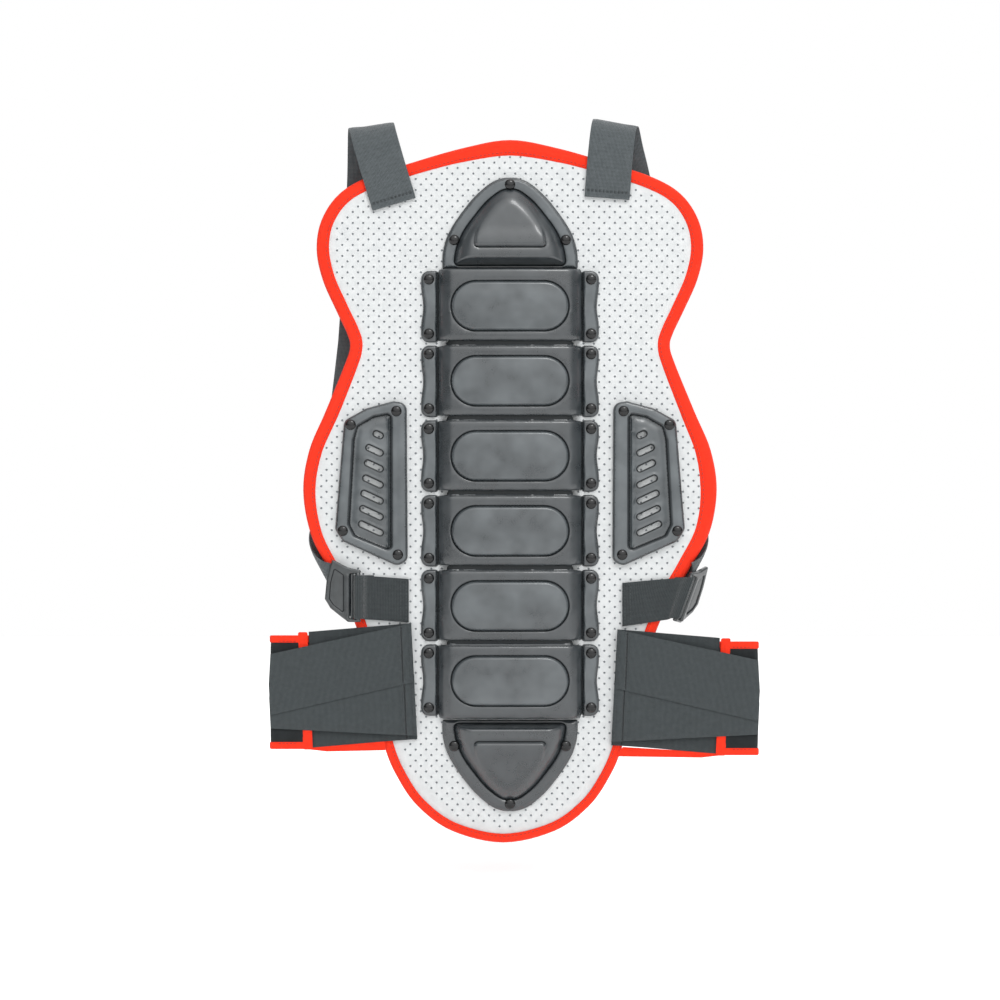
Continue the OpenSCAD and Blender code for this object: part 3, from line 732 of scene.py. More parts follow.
def binding(span):
    shape = Shape()
    for run in outline_runs(*SPANS[span]):
        rings, inner, outer = [], [], []
        length = 0.0
        cloth = []
        for k, i in enumerate(run):
            ring, inward = binding_ring(i)
            if k:
                length += np.linalg.norm(OUTLINE[i] - OUTLINE[run[k - 1]])
            rings.append(ring)
            reach = np.concatenate([[0], np.cumsum(np.linalg.norm(np.diff(np.array(ring), axis=0), axis=1))])
            cloth += [(0.1 * r, 0.1 * length) for r in reach]
            front_edge, back_edge = np.array(ring[2]), np.array(ring[14])
            push = np.array([-inward[0], 0, -inward[1]]) * 1.0
            inner.append(front_edge + push + (0, -0.12, 0))
            outer.append(back_edge + push * 0.6 + (0, 0.05, 0))
        tube(shape, rings, cloth)
        stitches(shape, inner, (0, -1, 0), 3.4, radius=0.4)
        stitches(shape, outer, (0, 1, 0), 3.4, radius=0.4)
    obj = shape.build(span + "_edge_binding", [BINDING, RED_THREAD], sharp=60)
    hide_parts(*[n + "_binding" for n in SPAN_NODES[span]])
    bend_span(obj)


CUSHION_SPANS = {"upper": (FLEX_TOP, 230.0), "middle": (FLEX_LOW, FLEX_TOP), "lumbar": (FLEX_TAIL, FLEX_LOW),
                 "tail": (-293.0, FLEX_TAIL)}
CUSHION_BODIES = {"upper": "upper_back", "middle": "middle_back", "lumbar": "lumbar", "tail": "tail"}
CUSHION_HALF_W, CUSHION_GAP, CUSHION_CAP = 44.0, 3.0, 1.5


def inflate(obj, limit):
    """Blows the cushion up a little with cloth, and keeps each point within a limit of its start."""
    start = np.array([v.co for v in obj.data.vertices])
    cloth = obj.modifiers.new("cloth", "CLOTH")
    cloth.settings.use_pressure = True
    cloth.settings.uniform_pressure_force = 4.0
    cloth.settings.effector_weights.gravity = 0.0
    cloth.settings.quality = 4
    cloth.point_cache.frame_start, cloth.point_cache.frame_end = 1, 20
    for number in range(1, 21):
        scene.frame_set(number)
    graph = bpy.context.evaluated_depsgraph_get()
    swollen = np.array([v.co for v in obj.evaluated_get(graph).data.vertices])
    obj.modifiers.clear()
    scene.frame_set(1)
    move = swollen - start
    size = np.linalg.norm(move, axis=1)[:, None]
    move *= np.minimum(1, limit / np.maximum(size, 1e-9))
    obj.data.vertices.foreach_set("co", (start + move).ravel())


def cushion(part):
    low, high = CUSHION_SPANS[part]
    low, high = low + CUSHION_GAP, high - CUSHION_GAP
    corners = [(-CUSHION_HALF_W, high), (CUSHION_HALF_W, high), (CUSHION_HALF_W, low), (-CUSHION_HALF_W, low)]
    radius = {"upper": 26, "tail": 26}.get(part, 9)
    outline = dense(rounded(corners, radius, 8), 3)
    fall = lambda p: round_edge(edge_distance(p, outline), 2.6)
    start = Shape()
    relief(start, outline, lambda p: np.full(len(p), LINING_BACK + 0.3), lambda p: -2.6 - 0.9 * fall(p), 3.2,
           points=np.vstack([inset(outline, d) for d in (0.7, 1.6, 2.6)]))
    obj = start.build(part + "_spine_cushion", [CUSHION, THREAD], CUSHION_BODIES[part])
    inflate(obj, CUSHION_CAP * MM)
    sew_channels(obj, low, high)
    return obj


def sew_channels(obj, low, high):
    """Presses sewn channels into the cushion's face and rounds it in at its edge."""
    middle, span = (low + high) / 2, high - low
    lines = [middle + span * share for share in ((-1 / 6, 1 / 6) if span > 100 else (0,))]
    mesh = obj.data
    co = np.array([v.co for v in mesh.vertices]) / MM
    raised = smooth(LINING_BACK + 0.6, -3.0, co[:, 1])
    for line in lines:
        co[:, 1] -= 1.9 * raised * np.exp(-((co[:, 2] - line) / 2.4) ** 2)
    co[:, 1] = np.minimum(co[:, 1], -0.05)
    co[:, 1] = np.maximum(co[:, 1], LINING_BACK + 0.1)
    mesh.vertices.foreach_set("co", (co * MM).ravel())
    divide = obj.modifiers.new("divide", "SUBSURF")
    divide.levels = divide.render_levels = 1
    graph = bpy.context.evaluated_depsgraph_get()
    fine = bpy.data.meshes.new_from_object(obj.evaluated_get(graph))
    obj.modifiers.clear()
    obj.data = fine
    fine.materials.clear()
    fine.materials.append(CUSHION)
    layer = fine.uv_layers.new(name="UVMap") if not fine.uv_layers else fine.uv_layers[0]
    co = np.array([v.co for v in fine.vertices])
    corners = np.zeros(len(fine.loops), int)
    fine.loops.foreach_get("vertex_index", corners)
    layer.data.foreach_set("uv", (co[:, [0, 2]] * 100)[corners].ravel())
    fine.shade_smooth()


def cushions():
    for part, body in CUSHION_BODIES.items():
        obj = cushion(part)
        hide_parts(part + "_cushion")


# ---- Spine plates ----

BODY_HALF, BODY_TOP, BODY_BOTTOM, EAR_HALF = 58.5, 28.7, -28.2, 29.4
TONGUE_TOP, TONGUE_HALF = 34.4, 54.6
BOSS_HALF, BOSS_R, BOSS_RISE = 47.5, 19.75, 1.8
EAR_X, EAR_R = 66.3, 6.7
PLASTICS = [PLASTIC, PLASTIC_LIT, PLASTIC_MOTTLED_HIGHLIGHT, PLASTIC_SHADE]


def vault(x, half, crown, flank, reach):
    """How high an arched plate stands: a low crown between two flanks that turn down."""
    t = np.clip((half - np.abs(x)) / reach, 0, 1)
    return crown * (1 - np.clip(x / half, -1, 1) ** 2) + flank * (1 - (1 - t) ** 1.8)


def boss_inset(points):
    """Distance inside the raised oval's edge."""
    over = np.maximum(np.abs(points[:, 0]) - (BOSS_HALF - BOSS_R), 0)
    return BOSS_R - np.hypot(over, points[:, 1])


def boss_loop(grow):
    r, run = BOSS_R + grow, BOSS_HALF - BOSS_R
    loop = [(sign * run + r * math.cos(a), r * math.sin(a))
            for sign, start in ((1, -math.pi / 2), (-1, math.pi / 2))
            for a in start + np.arange(19) * math.pi / 18]
    return dense(np.array(loop), 3.0)


def spine_outline(tongue, top_z, bottom):
    top = [(0, TONGUE_TOP), (47.5, TONGUE_TOP), (50.4, 33.2), (51.6, 31.0), (51.6, 29.4)] if tongue else [(0, top_z)]
    right = top + [(57.6, top_z), (58.9, 28.3), (59.8, 28.9), (61.0, EAR_HALF)]
    right += [(EAR_X + EAR_R * math.sin(a), EAR_HALF - EAR_R + EAR_R * math.cos(a))
              for a in np.radians([0, 18, 36, 54, 72, 90])]
    right += [(73 - 1.7 * (0.5 + 0.5 * math.cos(math.pi * z / 18)), z) for z in range(17, -18, -2)]
    right += [(EAR_X + EAR_R * math.cos(a), -EAR_HALF + EAR_R - EAR_R * math.sin(a))
              for a in np.radians([0, 18, 36, 54, 72, 90])]
    right += [(61.0, -EAR_HALF), (59.6, -28.9), (58.6, -28.0), (57.2, bottom), (0, bottom)]
    left = [(-x, z) for x, z in right[-2:0:-1]]
    return dense(np.array(right + left, float), 2.2)


def ear_strip(points, outline):
    """The raised strip between an ear's rivets: above 0 inside it."""
    x, z = np.abs(points[:, 0]), points[:, 1]
    inner = 61.4 - 0.9 * np.cos(np.clip(z / 19, -1, 1) * math.pi / 2)
    return np.minimum(np.minimum(x - inner, edge_distance(points, outline) - 2.2), 20.5 - np.abs(z))


def body_height(points):
    return vault(points[:, 0], BODY_HALF, 2.6, 7.9, 11.5)


def spine_front(outline, top_z, bottom):
    def depth(p):
        x, z = p[:, 0], p[:, 1]
        ax = np.abs(x)
        body = EAR_FRONT + 0.2 - body_height(p) + 0.6 * (z / 29) ** 2
        body += 0.45 * round_edge(top_z - z, 3.0) + 0.4 * round_edge(z - bottom, 5.0)
        s = boss_inset(p)
        body -= BOSS_RISE * smooth(-0.1, 1.3, s) - 1.0 * np.exp(-((s + 0.7) / 0.6) ** 2)
        body -= 0.5 * smooth(0, 12, s)
        tongue = EAR_FRONT - vault(x, TONGUE_HALF, 1.6, 4.6, 10)
        rim = edge_distance(p, outline)
        ear = EAR_FRONT + 1.9 * smooth(61.2, 59.6, ax) + round_edge(rim, 2.2)
        ear += 0.5 - 0.9 * smooth(-0.3, 0.7, ear_strip(p, outline))
        out = np.where(ax < BODY_HALF, body, ear)
        return np.where((z > top_z + 0.05) & (ax < 56), tongue, out)
    return depth


def spine_back(p):
    """The plate's hollow underside, which leaves room for the tongue of the plate below."""
    body = EAR_FRONT + 3.1 - body_height(p)
    tongue = EAR_FRONT + 2.6 - vault(p[:, 0], TONGUE_HALF, 1.6, 4.6, 10)
    return np.minimum(PLATE_BACK, np.where(p[:, 1] > BODY_TOP + 1.8, tongue, body))


def shell_back(front, thick=3.2):
    return lambda p: np.minimum(PLATE_BACK, front(p) + thick)


def spine_plate(i, body):
    z = (3 - i) * PLATE_PITCH
    # The first plate meets the top plate, and the last one reaches down to the tail plate
    top_z = BODY_TOP if i > 1 else 30.4
    bottom = BODY_BOTTOM if i < 6 else -31.0
    outline = spine_outline(i > 1, top_z, bottom)
    front = spine_front(outline, top_z, bottom)
    lines = [boss_loop(g) for g in (2.0, 1.3, 0.75, 0.2, -0.5, -1.3, -2.4)]
    points = []
    for x in (58.45, 58.2, 57.6, 56.6, 55.2, 53.4, 51.2, 49.0, 58.9, 59.4, 60.0, 60.6, 61.2, 61.8, 62.6):
        points += [(side * x, h) for side in (-1, 1) for h in np.arange(-29, 29, 2.1)]
    steps = [top_z - d for d in (0.05, 0.4, 1.0, 1.8, 2.7)] + [bottom + d for d in (0.2, 0.7, 1.4, 2.4, 3.6)]
    for h in steps + ([top_z + 0.1, top_z + 0.5] if i > 1 else []):
        points += [(x, h) for x in np.arange(-56, 56.1, 2.4)]
    for d in (0.5, 1.0, 1.5, 2.0, 2.7, 3.4):
        ring = inset(outline, d)
        points += [tuple(q) for q in ring if abs(q[0]) > 60]
    points = np.array(points, float)
    points = points[edge_distance(points, outline) > 0.2]

    def paint(p):
        # Finish 2 paints a mottled highlight on the raised oval and finish 1 a highlight on the ear strips; finish 3
        # paints shade into the groove round the oval, the crevice inside each ear and the tongue under the plate above.
        kind = np.where(boss_inset(p) > 0.1, 2, 0)
        kind = np.where(np.abs(boss_inset(p) + 0.6) < 0.5, 3, kind)
        kind = np.where((np.abs(p[:, 0]) > BODY_HALF) & (ear_strip(p, outline) > -0.1), 1, kind)
        kind = np.where((np.abs(p[:, 0]) > BODY_HALF) & (np.abs(p[:, 0]) < 60.2), 3, kind)
        return np.where((p[:, 1] > top_z + 0.05) & (np.abs(p[:, 0]) < 56), 3, kind)

    shape = Shape()
    relief(shape, outline, front, spine_back, 2.6, lines, points, place=Matrix.Translation((0, 0, z)), paint=paint)
    obj = shape.build("spine_plate_%d_shell" % i, PLASTICS, body, sharp=55)
    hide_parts("spine_plate_%d" % i)


END_RISE = 10.5
RIM_HALF = [(55.5, 0), (55.6, 8), (54.6, 17), (51.2, 28), (43.6, 41), (30.5, 58.0), (17, 70.0), (7, 74.4), (0, 75)]
DOME_HALF = [(45.0, 3.2), (44.6, 10), (42.6, 19), (37.2, 31), (29, 42.5), (19.5, 54), (9.5, 62.2), (3.5, 64.8), (0, 65)]
PANEL_HALF = [(29.0, 17.6), (28.6, 25), (26.2, 33), (21.5, 42.5), (14.5, 51.5), (7.0, 57.2), (0, 59)]


def end_loop(half, corner):
    """A rounded triangle from its right half, with its base corners rounded."""
    arc = spline(half + [(-x, z) for x, z in half[-2::-1]], 4)
    loop = arc[::-1]
    base = half[0]
    r = corner
    right = [(base[0] - r + r * math.cos(a), base[1] + r - r * math.sin(a)) for a in np.radians([0, 30, 60, 90])]
    left = [(-x, z) for x, z in right[::-1]]
    body = [tuple(q) for q in loop if q[1] > base[1] + r * 1.05]
    return dense(np.array(body + right + left, float), 2.2)


def end_plate(top):
    rim, dome, panel = end_loop(RIM_HALF, 1.2), end_loop(DOME_HALF, 3.0), end_loop(PANEL_HALF, 3.0)
    flank = end_loop([(DOME_HALF[0][0], -60.0)] + DOME_HALF, 3.0)
    facet = 1.75 if top else 2.6

    def dome_height(p):
        side = np.clip(edge_distance(p, flank) / 14, 0, 1)
        across = END_RISE * (1 - (1 - side) ** 2.0) * (1 - 0.26 * smooth(24, 66, p[:, 1]))
        # The base is cut by a slanting facet, so that its upper edge is an arc
        cut = facet * np.maximum(p[:, 1] - DOME_HALF[0][1], 0)
        blend = np.clip(0.5 + (cut - across) / 2.4, 0, 1)
        return np.where(edge_distance(p, dome) > 0, cut + (across - cut) * blend - 1.2 * blend * (1 - blend), 0)

    def front(p):
        d, e, f = edge_distance(p, rim), edge_distance(p, dome), edge_distance(p, panel)
        y = EAR_FRONT + round_edge(d, 2.2) + 0.4 - 0.8 * smooth(1.9, 2.8, d) * smooth(-0.3, -1.2, e)
        y += 0.9 * np.exp(-((e + 0.6) / 0.6) ** 2)
        y -= dome_height(p)
        # The raised panel is strongest at its base and fades towards the point
        fade = 1 - 0.88 * smooth(20, 36, p[:, 1])
        return y - fade * 1.9 * smooth(-0.1, 1.4, f) + 0.8 * fade ** 2 * np.exp(-((f + 0.7) / 0.6) ** 2)

    def paint(p):
        d, e, f = edge_distance(p, rim), edge_distance(p, dome), edge_distance(p, panel)
        # The top plate's rim gets finish 1, a painted highlight where light from above falls, while the tail plate's
        # rim keeps the plain plastic; finish 3 paints shade into the groove round the dome and under the raised panel's
        # base.
        kind = np.zeros(len(p), int)
        kind = np.where((e < -1.1) & (d > 2.2), 1 if top else 0, kind)
        shaded_groove = (np.abs(e + 0.5) < 0.6) | ((np.abs(f + 0.6) < 0.5) & (p[:, 1] < 19))
        return np.where(shaded_groove, 3, kind)

    lines = [inset(dome, g) for g in (-1.2, -0.6, 0.0, 0.8, 1.8)]
    lines += [inset(panel, g) for g in (-1.2, -0.6, 0.0, 0.8, 1.7)]
    points = np.vstack([inset(rim, g) for g in (0.4, 0.9, 1.4, 1.9, 2.5, 3.1)]
                       + [np.array([(x, z) for z in np.arange(4, 13, 1.0) for x in np.arange(-42, 43, 2.0)])])
    points = points[edge_distance(points, rim) > 0.2]
    base = (PLATE_PITCH * 2.5 + 0.2) if top else (FLEX_TAIL - 1.2)
    place = Matrix.Translation((0, 0, base)) @ Matrix.Diagonal((1, 1, 1 if top else -1, 1))
    shape = Shape()
    relief(shape, rim, front, shell_back(front), 2.0, lines, points, place=place, paint=paint)
    name = "top_plate" if top else "tail_plate"
    obj = shape.build(name + "_shell", PLASTICS, "upper_back" if top else "tail", sharp=55)
    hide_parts(name)


# ---- Kidney plates ----

KIDNEY_OUTLINE = [(84.6, 43.5), (96, 45.0), (118, 39.0), (136, 29), (143.4, -60), (137, -70), (92.5, -90), (83.8, -86)]
KIDNEY_PANEL = [(96.6, 36.0), (112, 33.0), (126, 25), (129, 14), (133.0, -56), (128, -66), (96.4, -79)]
SLOT_INNER, SLOT_TOP, SLOT_PITCH, SLOT_SLOPE, SLOT_H = 104, 17.5, 12.8, 25, 4.0
SLOT_OUTER = [112, 118, 119, 120.5, 122, 123, 124]
PANEL_SLOPE = 5.5


def slot_loop(i, grow=0.0):
    centre = np.array([(SLOT_INNER + SLOT_OUTER[i]) / 2, SLOT_TOP - i * SLOT_PITCH])
    turn = math.radians(SLOT_SLOPE)
    length = max((SLOT_OUTER[i] - SLOT_INNER) / math.cos(turn) - 1.2, SLOT_H + 1)
    r, run = SLOT_H / 2 + grow, (length - SLOT_H) / 2
    loop = []
    for sign, start in ((1, -math.pi / 2), (-1, math.pi / 2)):
        for a in start + np.arange(9) * math.pi / 8:
            u, v = sign * run + r * math.cos(a), r * math.sin(a)
            loop.append(centre + (u * math.cos(turn) - v * math.sin(turn), u * math.sin(turn) + v * math.cos(turn)))
    return np.array(loop)


def kidney_plate(side):
    outline = dense(rounded(KIDNEY_OUTLINE, 7.0, 6), 2.5)
    panel = dense(rounded(KIDNEY_PANEL, 4.0, 6), 2.0)
    slots = [slot_loop(i) for i in range(len(SLOT_OUTER))]

    def slot_edge(p):
        return np.max([edge_distance(p, slot) for slot in slots], axis=0)

    def front(p):
        d, g = edge_distance(p, outline), edge_distance(p, panel)
        y = KIDNEY_FRONT + round_edge(d, 2.6)
        # The rim rolls over, drops to a crease, and the floor rises again from it
        y -= 0.5 * np.exp(-((d - 5.0) / 2.2) ** 2)
        y += 3.4 * smooth(-0.6, 2.0, g) - 1.6 * smooth(2.0, 2.0 + PANEL_SLOPE, g)
        # A thin ridge stands just inside the recess on the side next to the spine
        y -= 1.5 * np.exp(-((p[:, 0] - 100.0) / 1.0) ** 2) * smooth(1.4, 2.6, g)
        return y - 0.8 * np.exp(-((slot_edge(p) + 1.5) / 0.9) ** 2)

    def paint(p):
        d, g, w = edge_distance(p, outline), edge_distance(p, panel), slot_edge(p)
        # Finish 1 paints a highlight on the rim, finish 2 the mottled painted reflection on the recess floor, and
        # finish 3 paints shade into the crease at the recess's edge and round each slot.
        kind = np.where((g < -0.8) & (d > 1.7), 1, np.where(g > 2.2, 2, 0))
        kind = np.where((g > 0.5) & (g < 1.9), 3, kind)
        return np.where(w > -1.15, 3, kind)

    lines = [slot_loop(i, g) for i in range(len(SLOT_OUTER)) for g in (0.6, 1.2, 2.0)]
    lines += [inset(panel, g) for g in (-0.8, 0.0, 0.7, 1.4, 2.2)]
    points = np.vstack([inset(outline, g) for g in (0.5, 1.1, 1.8, 2.6)]
                       + [np.array([(x, z) for x in (100.0, 100.6, 101.3) for z in np.arange(-74, 31, 2.2)])])
    points = points[edge_distance(points, outline) > 0.3]
    shape = Shape()
    relief(shape, outline, front, lambda p: np.full(len(p), PLATE_BACK), 1.9, lines, points, slots,
           place=Matrix.Diagonal((side, 1, 1, 1)), paint=paint)
    name = "left" if side < 0 else "right"
    obj = shape.build(name + "_side_plate", PLASTICS, "middle_back", sharp=50)
    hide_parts(name + "_kidney_plate")


# ---- Rivets ----

EAR_RIVETS = [(-66.5, 22.3), (66.5, 22.3), (66.5, -22.3), (-66.5, -22.3)]
TOP_RIVETS = [(0, 222.5), (-45.7, 177), (45.7, 177)]
TAIL_RIVETS = [(0, -285), (-45.7, -237.5), (45.7, -237.5)]
KIDNEY_RIVETS = [(93, 36.8), (130.5, 25.6), (137, -61.3), (91.8, -80.8)]
RIVET_PROFILE = [(0.01, 8.6), (4.0, 8.6), (4.0, 7.8), (2.0, 7.6), (2.0, 0.3), (4.2, 0.2), (4.35, -0.3), (4.2, -0.85),
                 (3.8, -1.4), (3.2, -1.85), (2.5, -2.15), (1.7, -2.36), (0.9, -2.47), (0.01, -2.5)]


def plate_z(i):
    return (3 - i) * PLATE_PITCH


def rivets():
    ears = lambda first, last: [(x, z + plate_z(i), EAR_FRONT - 0.3) for i in range(first, last + 1) for x, z in EAR_RIVETS]
    flat = lambda places, y: [(x, z, y) for x, z in places]
    sides = [(s * x, z, KIDNEY_FRONT - 0.1) for s in (1, -1) for x, z in KIDNEY_RIVETS]
    groups = {"upper": ("upper_back", flat(TOP_RIVETS, EAR_FRONT - 0.2) + ears(1, 1)),
              "middle": ("middle_back", ears(2, 4) + sides),
              "lumbar": ("lumbar", ears(5, 6)),
              "tail": ("tail", flat(TAIL_RIVETS, EAR_FRONT - 0.2))}
    for part, (body, places) in groups.items():
        shape = Shape()
        for x, z, y in places:
            # The shank stops at the back of the pad, whatever the head's depth
            reach = (PAD_BACK + 1 - y) / 8.6
            profile = [(r, h * reach if h > 0.5 else h) for r, h in RIVET_PROFILE]
            place = Matrix.Translation((x, y, z)) @ Matrix.Rotation(math.radians(-90), 4, "X")
            lathe(shape, profile, place)
        obj = shape.build(part + "_rivet_heads", [RIVET], body, sharp=45)
        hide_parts(part + "_rivets")


# ---- Straps ----

STRAP_W = 37.0
LEFT_TOP = [((-95, -19.2, 206.5), (0.966, 0, 0.259)), ((-104.5, -19.2, 238), (0.966, 0, 0.259)),
            ((-110.5, -17.5, 259), (0.975, 0, 0.22)), ((-113, -12.5, 268.5), (0.98, 0, 0.18)),
            ((-114.5, -5, 272), (0.99, 0, 0.13)), ((-115.5, 2.5, 267), (1, 0, 0.08)),
            ((-116, 7, 252), (1, 0, 0.04)), ((-116.5, 10, 232), (1, 0, 0)),
            ((-118, 14, 200), (1, 0, -0.04)), ((-120, 16, 165), (1, 0, -0.06)),
            ((-122, 15, 130), (1, 0, -0.06)), ((-124, 12, 97.5), (1, 0, -0.08))]
LEFT_REAR = [((-125, 11, 87), (1, 0, -0.08)), ((-128, 9, 60), (1, 0, -0.1)),
             ((-133, 8, 20), (1, 0, -0.14)), ((-138, 7, -20), (0.98, 0, -0.18)),
             ((-143.6, 6, -50), (0.967, 0, -0.25)), ((-147.9, 5.2, -67), (0.956, 0, -0.29))]
RIGHT_TOP = [((79.5, -19.2, 211.5), (0.996, 0, -0.085)), ((82, -19.2, 243), (0.996, 0, -0.085)),
             ((84, -17.5, 262), (0.99, 0, -0.1)), ((85.5, -12.5, 271), (0.98, 0, -0.14)),
             ((87, -5, 274.5), (0.98, 0, -0.18)), ((88.5, 2.5, 270), (0.97, 0, -0.22)),
             ((92, 7, 254), (0.97, 0, -0.24)), ((97.5, 10, 232), (0.97, 0, -0.24)),
             ((104, 14, 200), (0.98, 0, -0.16)), ((108.5, 16, 165), (0.99, 0, -0.1)),
             ((110.5, 15, 130), (1, 0, -0.04)), ((111.5, 12, 97.5), (1, 0, 0))]
RIGHT_REAR = [((112, 11, 87), (1, 0, 0.04)), ((115, 9, 60), (0.99, 0, 0.12)),
              ((123, 8, 20), (0.98, 0, 0.2)), ((132, 7, -20), (0.97, 0, 0.24)),
              ((140.5, 6, -50), (0.96, 0, 0.27)), ((145.6, 5.2, -67), (0.956, 0, 0.29))]
HIP_EDGE, HIP_NORMAL = np.array([0.47, 0, -0.88]), np.array([0.88, 0, 0.47])
HIP_START = np.array([-152.4, 5.2, -82.0])
ROLL_REACH, ROLL_HALF, ROLL_LENGTH, ROLL_SQUARE = 7.5, 12.2, 32.0, 0.7
ROLL_START = 15.65


def rolled(c):
    """How a strap lies a way round the panel's edge at the hip: [into the panel, depth]."""
    if c < 0:
        return np.array([-c, 0.0])
    if c > ROLL_LENGTH:
        return np.array([c - ROLL_LENGTH, -2 * ROLL_HALF])
    a = math.pi * c / ROLL_LENGTH
    k = math.cos(a)
    return np.array([-ROLL_REACH * math.sin(a) ** ROLL_SQUARE,
                     ROLL_HALF * (math.copysign(abs(k) ** ROLL_SQUARE, k) - 1)])


def rolled_point(along, across, out):
    e, c = (along + across) * math.sqrt(0.5), (along - across) * math.sqrt(0.5)
    p, d = rolled(c), rolled(c + 0.8) - rolled(c - 0.8)
    d /= np.linalg.norm(d)
    return HIP_START + HIP_EDGE * e + HIP_NORMAL * (p[0] - d[1] * out) + np.array([0, p[1] + d[0] * out, 0])


def strap_cut(line, low, high):
    """The stations of a strap between two of its rows."""
    return tuple(part[low:high] for part in line)


def strap_pieces(side):
    """The shoulder strap: hem on the front, over the top, down behind, and round the hip to the buckle."""
    left = side == "left"
    top, rear = (LEFT_TOP, LEFT_REAR) if left else (RIGHT_TOP, RIGHT_REAR)
    # The last rows lie where the rolled part begins
    joined = top + rear
    line = stations(joined, 4.0)
    z = line[0][:, 2]
    behind = line[0][:, 1] > 0
    first = int(np.argmax(behind & (z < 150)))
    second = int(np.argmax(behind & (z < 0)))
    length = np.concatenate([[0], np.cumsum(np.linalg.norm(np.diff(line[0], axis=0), axis=1))])

    upper = Shape()
    ribbon(upper, strap_cut(line, 0, first + 1), STRAP_W, WEB)
    add_hem(upper, line)
    obj = upper.build(side + "_shoulder_strap", [STRAP, THREAD], "upper_back", sharp=50)
    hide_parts(side + "_strap_top")

    middle = Shape()
    ribbon(middle, strap_cut(line, first, second + 1), STRAP_W, WEB, start=length[first])
    obj = middle.build(side + "_strap_behind", [STRAP], sharp=50)
    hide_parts(side + "_strap_rear")
    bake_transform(obj)

    lower = Shape()
    ribbon(lower, strap_cut(line, second, len(z)), STRAP_W, WEB, start=length[second])
    add_roll(lower, side, length[-1])
    obj = lower.build(side + "_strap_at_hip", [STRAP], sharp=50)
    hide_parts(side + "_strap_end")
    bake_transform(obj)


def add_hem(shape, line):
    """The sewn end on the front: the strap turned under, with a row of stitches above the fold."""
    point, heading, across, normal = line
    out = -normal[0] if normal[0][1] > 0 else normal[0]
    for rise, inset_x in ((4.8, 1.5), (5.9, 1.5)):
        centre = point[0] + heading[0] * rise + out * (WEB / 2 + 0.15)
        reach = STRAP_W / 2 - inset_x
        row = [centre + across[0] * u for u in np.linspace(-reach, reach, 12)]
        stitches(shape, row, out, 3.0, radius=0.45)
    under = tuple(part[:5].copy() for part in line)
    under[0][:] = under[0] - out * WEB * 0.9
    ribbon(shape, under, STRAP_W - 1.0, WEB * 0.7)


def add_roll(shape, side, start):
    """The strap round the panel's edge at the hip, as a sheet of rows along and columns across."""
    left = side == "left"
    end, lean = (54.0, 5.8) if left else (26.0, 0.0)
    columns, step = 12, 2.5
    rows = int(math.ceil((end + ROLL_START) / step))
    rings, cloth = [], []
    u = np.linspace(-1, 1, columns + 1)
    for i in range(rows + 1):
        ring = []
        for sign in (1, -1):
            for k in (u if sign > 0 else u[::-1]):
                thick = WEB / 2 * (1 - 0.6 * abs(k) ** 10)
                s = -ROLL_START + (end + lean * k + ROLL_START) * i / rows
                ring.append(rolled_point(s, k * STRAP_W / 2, sign * thick))
                cloth.append((0.1 * k * STRAP_W / 2, 0.1 * (start + ROLL_START + s)))
        rings.append(ring)
    place = None if left else Matrix.Translation((-2, 0, 0)) @ Matrix.Diagonal((-1, 1, 1, 1))
    tube(shape, rings, cloth, flip=True, place=place)


# ---- Side webbing and buckles ----

BAR_Y = LAYER_BACK - 2.4 - WEB
BARS = {"left": ((-124.5, BAR_Y, -115.5), 0.0, 0.0, 1), "right": ((142.0, BAR_Y, -116.0), 20.0, 60.0, -1)}
BUCKLE_H, RAIL, BUCKLE_UP = 42.4, 2.6, 0.7
PADDLE = [(-8.5, 24.4), (-21, 31.0), (-25.6, 13.5), (-27, -1.5), (-22.5, -9), (-13, -16.5), (-8, -20.3)]
PADDLE_PANEL = [(-11.2, 18.4), (-19.6, 24.4), (-22.8, 12), (-23.8, -1.5), (-20.3, -6.8), (-12.6, -12.6), (-11.2, -13)]


def buckle_place(side):
    centre, slant, swing, flip = BARS[side]
    return (Matrix.Translation(centre) @ Matrix.Rotation(math.radians(slant), 4, "Y")
            @ Matrix.Rotation(math.radians(swing), 4, "Z") @ Matrix.Diagonal((flip, 1, 1, 1)))


